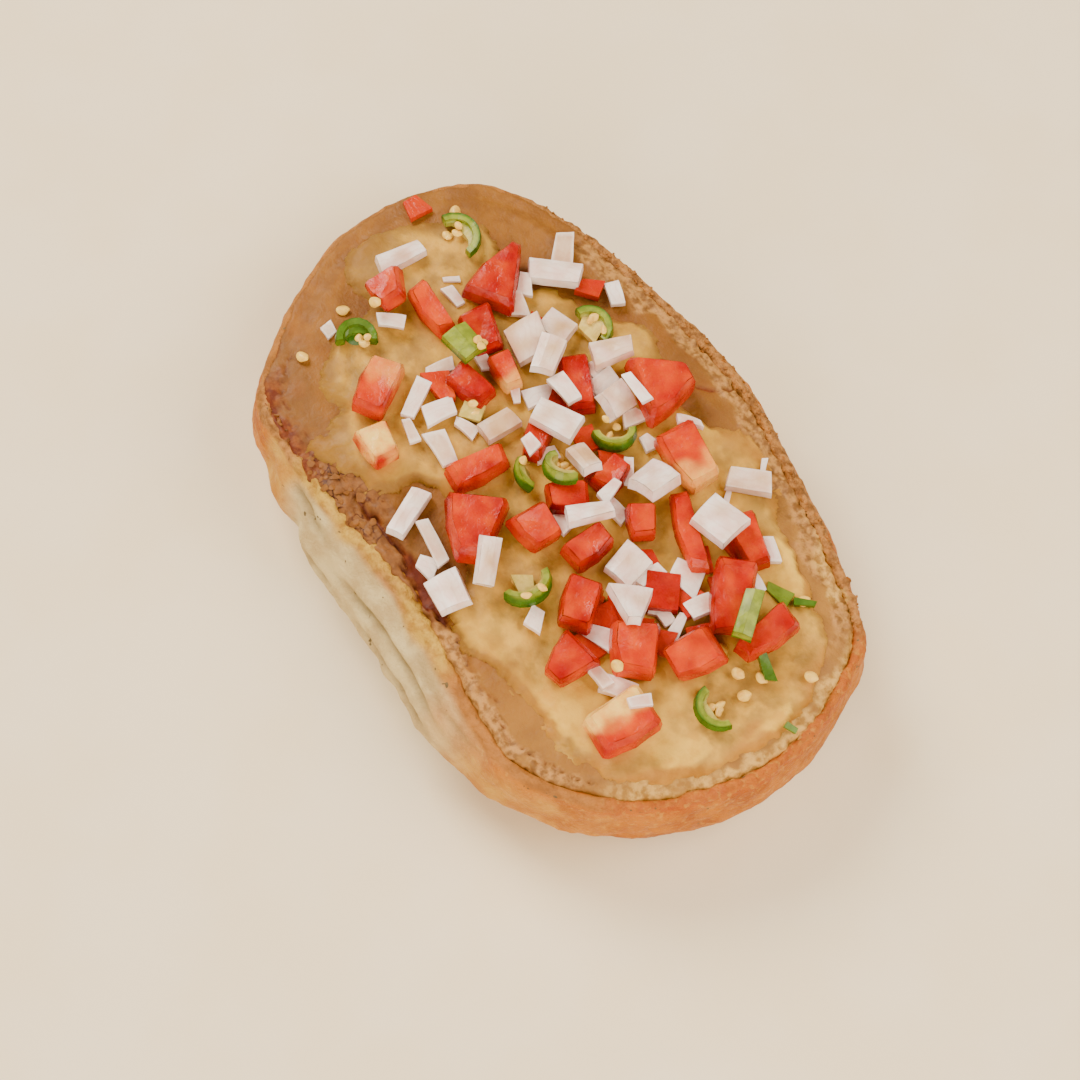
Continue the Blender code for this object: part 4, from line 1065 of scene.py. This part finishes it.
# %% Small onion
# x, y as seen, length, width, thickness, turn, how glassy
SMALL_ONIONS = (
    (-49, 37, 9.5, 4.8, 1.6, -38, 0.8), (-3, -28.2, 11.5, 3, 1.6, -8, 0.6),
    (-33.4, 40.4, 6, 3.4, 2.0, -15, 0.1), (-34.6, -12, 10.4, 3.8, 1.8, -55, 0.25),
    (-29, -9.8, 7.6, 4.4, 2.0, 85, 0.2), (-54, -6.4, 6.4, 3.2, 1.6, 50, 0.3),
    (23.8, -19.4, 5.4, 3.8, 1.8, -50, 0.3), (2.8, 35.4, 6, 2.4, 1.6, 45, 0.2),
    (-21, -14.2, 8.6, 4.4, 1.6, -5, 0.7), (-28.2, -17.6, 6, 2.4, 1.6, -10, 0.6),
    (42, -15.2, 6, 3, 1.6, 5, 0.6), (-43, 20, 6, 4.5, 2.2, -20, 0.5),
    (-52, 9, 5.5, 2.5, 1.8, 5, 0.4), (-56, 11, 4, 1.2, 1.0, 60, 0.3),
    (-10.5, 30.7, 8.5, 2.6, 1.8, 0, 0.05), (-16, 25.5, 7, 4, 2.0, 100, 0.3),
    (-19.5, 25, 4, 3, 1.8, 20, 0.3), (2, 25.3, 4, 3, 1.8, 0, 0.3),
    (5.5, 17.5, 7, 2.5, 1.8, -35, 0.1), (-18.5, 17, 8, 4, 2.0, 0, 0.2),
    (-20.5, 11.5, 8, 4, 2.0, 80, 0.1), (-7.5, 4.5, 5.5, 3.2, 1.8, 75, 0.4),
    (7.3, 11, 6.5, 3, 1.8, -70, 0.1), (12, 9.7, 5.5, 3.2, 1.8, 10, 0.1),
    (8, -1.8, 5.5, 4, 1.8, 0, 0.2), (-22.5, -7, 6, 2.5, 1.6, 20, 0.4),
    (-38, -3.5, 7, 3, 1.6, 80, 0.7), (1.2, -32.4, 4.8, 4, 1.6, 20, 0.1),
    (37.3, 32.5, 6.5, 4, 2.0, -20, 0.05), (33, 14, 7.5, 6, 2.2, 20, 0.2),
    (37, 11, 4, 2, 1.6, 60, 0.2), (40.5, 12.5, 6.5, 4.5, 2.0, 80, 0.4),
    (42, 5, 9, 2.6, 1.8, -60, 0.1), (28.5, 7, 7, 3.2, 1.8, 90, 0.2),
    (35, 5.2, 6, 3, 1.8, -60, 0.2), (38.5, 4.5, 4, 3, 1.6, 0, 0.2),
    (34.5, -9.8, 9, 4.2, 2.2, 30, 0.05), (46.5, -13.3, 7.5, 4.5, 2.0, 35, 0.45),
    (51, -11, 5, 2.5, 1.6, 70, 0.4), (42.5, 25.5, 5, 2.5, 1.6, 0, 0.1),
    (20.8, 43.2, 5, 1.2, 1.0, -45, 0.1), (22.2, 32.5, 5.5, 1.2, 1.0, -50, 0.1),
    (-11.5, 3, 4, 3, 1.6, 0, 0.3), (-23.5, 7, 4.5, 2, 1.4, -25, 0.3),
    (-34, 5.5, 4, 3, 1.6, 0, 0.2), (-46, 24.5, 6, 3, 1.8, -35, 0.3),
    (-5, 26, 4, 5, 1.8, 0, 0.6), (-60, -19.5, 3.5, 3, 1.2, 0, 0.6),
)
SLICE = 0.75           # small slices are thinner than they look
pile = Pile()
for number, (x, y, length, width, thick, turn, glassy) in enumerate(SMALL_ONIONS):
    draw = random.Random(900 + number)
    thick *= SLICE
    plate = cut_plate(length, width, thick, draw, draw.uniform(0, 0.09) * length)
    # Painted highlight: whiter along the edges of each slice.
    edge = [0.7 * ramp(2 * max(abs(v.co.x) / length, abs(v.co.y) / width), 0.7, 0.95)
            for v in plate.verts]
    pile.drop(plate, x, y, length, thick, 0.2 * thick, turn, glassy=glassy, edge=edge)
pile.marks["pink"] = list(0.5 * near_tomato(np.array([tuple(p) for p in pile.points])))
pile.make("small_onion", onion_finish)

# %% Small tomato
# x, y as seen, length, width, thickness, turn, how pale
SMALL_TOMATOES = (
    (-37.4, 36.4, 5.6, 4.2, 2.4, 45, 0.3), (-34, -6, 7.5, 4.8, 2.8, -10, 0.8),
    (33.5, 7, 9, 8, 3.0, -40, 0.1), (33, -7, 9, 5.5, 2.8, -10, 0.3),
    (-76.5, 14.5, 5.5, 5, 1.4, 0, 0.6),
    (3.9, 11.0, 6.5, 5, 1.6, 20, 0.7), (24.6, 7.5, 7, 5, 1.8, 70, 0.2),
    (38.2, 11.3, 7, 6, 2.0, 10, 0.4), (31.6, 18.6, 6, 5, 1.6, -30, 0.2),
    (40.9, 20.0, 8, 6, 2.0, 60, 0.3), (32.7, 27.1, 6, 5, 1.8, 15, 0.3),
    (32.0, -2.8, 7, 5, 1.8, -35, 0.6), (26.6, -7.0, 6, 5, 1.6, 30, 0.8),
    (41.8, -0.4, 8, 5, 2.0, 40, 0.5), (47.0, 7.7, 7, 5, 1.8, -20, 0.3),
    (1.7, 15.8, 6, 4, 1.4, 50, 0.7), (-6.0, 13.8, 6, 5, 1.5, -15, 0.5),
    (-16.5, 15.8, 7, 5, 1.6, 35, 0.3), (35.2, -12.9, 7, 5, 1.8, 0, 0.7),
    (-34.5, 20.8, 6, 5, 1.6, 25, 0.2), (38.1, -1.8, 6, 4, 1.6, -60, 0.4),
)
pile = Pile()
for number, (x, y, length, width, thick, turn, paleness) in enumerate(SMALL_TOMATOES):
    plate = cut_plate(length, width, thick, random.Random(1000 + number))
    pile.drop(plate, x, y, length, thick, 0.1 * thick, turn, spread_tree,
              pale=paleness, core=0.0, skin=0.0)
pile.make("small_tomato", tomato_finish)

# %% Small chile, and pale cores of rings
# x, y as seen, length, width, thickness, turn, how much skin, how much core
SMALL_CHILES = (
    (58.4, 16.4, 7.4, 2.2, 1.8, -12, 0.9, 0), (47, 28.5, 6, 3, 1.2, 20, 0.5, 0),
    (51.8, 32, 5, 1.4, 1.4, 50, 0.9, 0), (73.5, 12.5, 3, 1.4, 0.8, 30, 0.7, 0),
    (-28.6, 30.6, 5.6, 4.4, 2.0, 20, 0, 1),
    (16.8, -17.0, 6.5, 4.0, 1.6, -20, 0, 0.9), (-25.5, -3, 5.0, 4.4, 1.4, 30, 0, 0.8),
)
CUP = (-55.2, -14.2)   # the end of a chile, a dark green cup that fills its ring
pile = Pile()
for number, (x, y, length, width, thick, turn, skin, core) in enumerate(SMALL_CHILES):
    plate = cut_plate(length, width, thick, random.Random(1100 + number))
    pile.drop(plate, x, y, length, thick, 0.4 * thick, turn, skin=skin, core=core)
pile.drop(oval(7.4, 7.0, 3.4), *CUP, 6, 2, 0.6, 60, spread_tree, skin=1.0, core=0.0)
pile.make("small_chile", chile_finish)

# %% [markdown]
# Chile seeds are flat cream ovals with a dull waxy coat. They lie loose, and in clusters
# on the pale core inside the rings.

# %% Seeds
# Chile seed: a dry waxy coat with a soft shine.
seed_finish, tree, shader = new_finish(
    "chile_seed", IOR=1.45, Subsurface_Weight=0.15, Subsurface_Radius=(1.0, 0.8, 0.5),
    Subsurface_Scale=0.8 * MM)
finish_off(tree, shader, (0.3, 0.45), 0.6, 0.05, ("#F6CC5E", "#E2AE42", 1.5))

SEED_SIZE = (3.2, 2.6, 0.9)
LOOSE_SEEDS = (  # x, y as seen, turn
    (-57.2, -28, 15), (-71, 21.6, -40), (-62.6, -14, 60), (57.5, 10.2, 20), (62.3, 8.4, 70),
    (51.4, 32, 80), (41.8, -10.6, 10), (-59.4, -6.8, 20), (66.5, 23, 30), (61, 14, 10),
    (51.3, 10.5, -10),
)
CLUSTERS = (  # x, y as seen, half-width, number of seeds, how high they lie
    (-66.5, 18, 2.2, 4, 0.6), (-52.6, -14.5, 1.0, 4, 2.0), (-58.5, -13.3, 0.3, 1, 0.4),
    (-28.5, 30.5, 2.4, 4, 0.6), (-5.5, 19.5, 2.0, 3, 0.6), (-3.5, 4.5, 2.2, 5, 0.6),
    (-9, 0.5, 1.4, 2, 0.6), (61.5, 2, 2.0, 4, 0.6), (16.5, -16, 3.0, 7, 0.6),
    (-38, 6.5, 1.6, 3, 0.6), (-25.5, -3, 2.4, 6, 0.6),
)
pile = Pile()
draw = random.Random(1200)
for x, y, turn in LOOSE_SEEDS:
    pile.drop(oval(*SEED_SIZE), x, y, SEED_SIZE[0], SEED_SIZE[2], -0.35, turn)
for x, y, spread, count, rise in CLUSTERS:
    for _ in range(count):
        size = [side * draw.uniform(0.55, 0.85) for side in SEED_SIZE]
        dx, dy = draw.uniform(-spread, spread), draw.uniform(-spread, spread)
        pile.drop(oval(*size), x + dx, y + dy, size[0], size[2], -rise, draw.uniform(0, 180))
pile.make("chile_seeds", seed_finish)

# %% [markdown]
# Dried bean crumbs and flakes lie along the near edge, and toasted crumb stands up in grains
# on the far rim. They are broken, flat-sided bits of one to three millimetres, a quarter to
# half sunk in what carries them.

# %% Crumbs of dried bean
# first x, last x, y, half-width, number, size, flatness
CRUMB_ZONES = (
    (-57, -34, -42.4, 1.2, 34, 1.5, 0.6), (-35, -10, -40.6, 2.0, 30, 2.4, 0.3),
    (-30, -12, -37.0, 1.6, 12, 2.8, 0.25), (-20, 13, -41.8, 0.7, 30, 1.5, 0.6),
    (16, 48, -44.2, 0.9, 26, 1.3, 0.5),
)
SUNK = 0.25
surface = np.where(bean_depth > 0.4 - smear, bean_height, 0.0)
pile = Pile()
draw = random.Random(1500)
for first, last, y, spread, count, size, flatness in CRUMB_ZONES:
    for _ in range(count):
        own_size = size * draw.uniform(0.5, 1.2)
        made = crumb(own_size, flatness, draw)
        place = true_place(draw.uniform(first, last), y + draw.gauss(0, 0.6) * spread, CUT_HEIGHT)
        height = float(look_up(surface, np.array([(place.x, place.y, 0.0)]))[0])
        if height < CUT_HEIGHT - 2:
            continue
        slope = Vector((draw.gauss(0, 0.2), draw.gauss(0, 0.2), 1)).normalized()
        pile.put(made, Vector((*place, height + (0.5 - SUNK) * flatness * own_size)), slope,
                 draw.uniform(0, 180), dry=draw.uniform(0.2, 0.9))
pile.make("bean_crumbs", beans_finish)

# %% Grains of toasted crumb on the torn rim
sites = np.nonzero((torn > 0.6) & (cy > 20))[0]
GRAINS = 240
draw = random.Random(1600)
pile = Pile()
for _ in range(GRAINS):
    site = draw.choice(sites)
    made = crumb(draw.uniform(0.6, 1.6), 0.7, draw)
    pile.put(made, Vector(crust_points[site]), Vector(crust_normals[site]),
             draw.uniform(0, 180), rim=0.6, torn=draw.uniform(0.3, 1.0))
pile.make("toasted_grains", crust_finish)
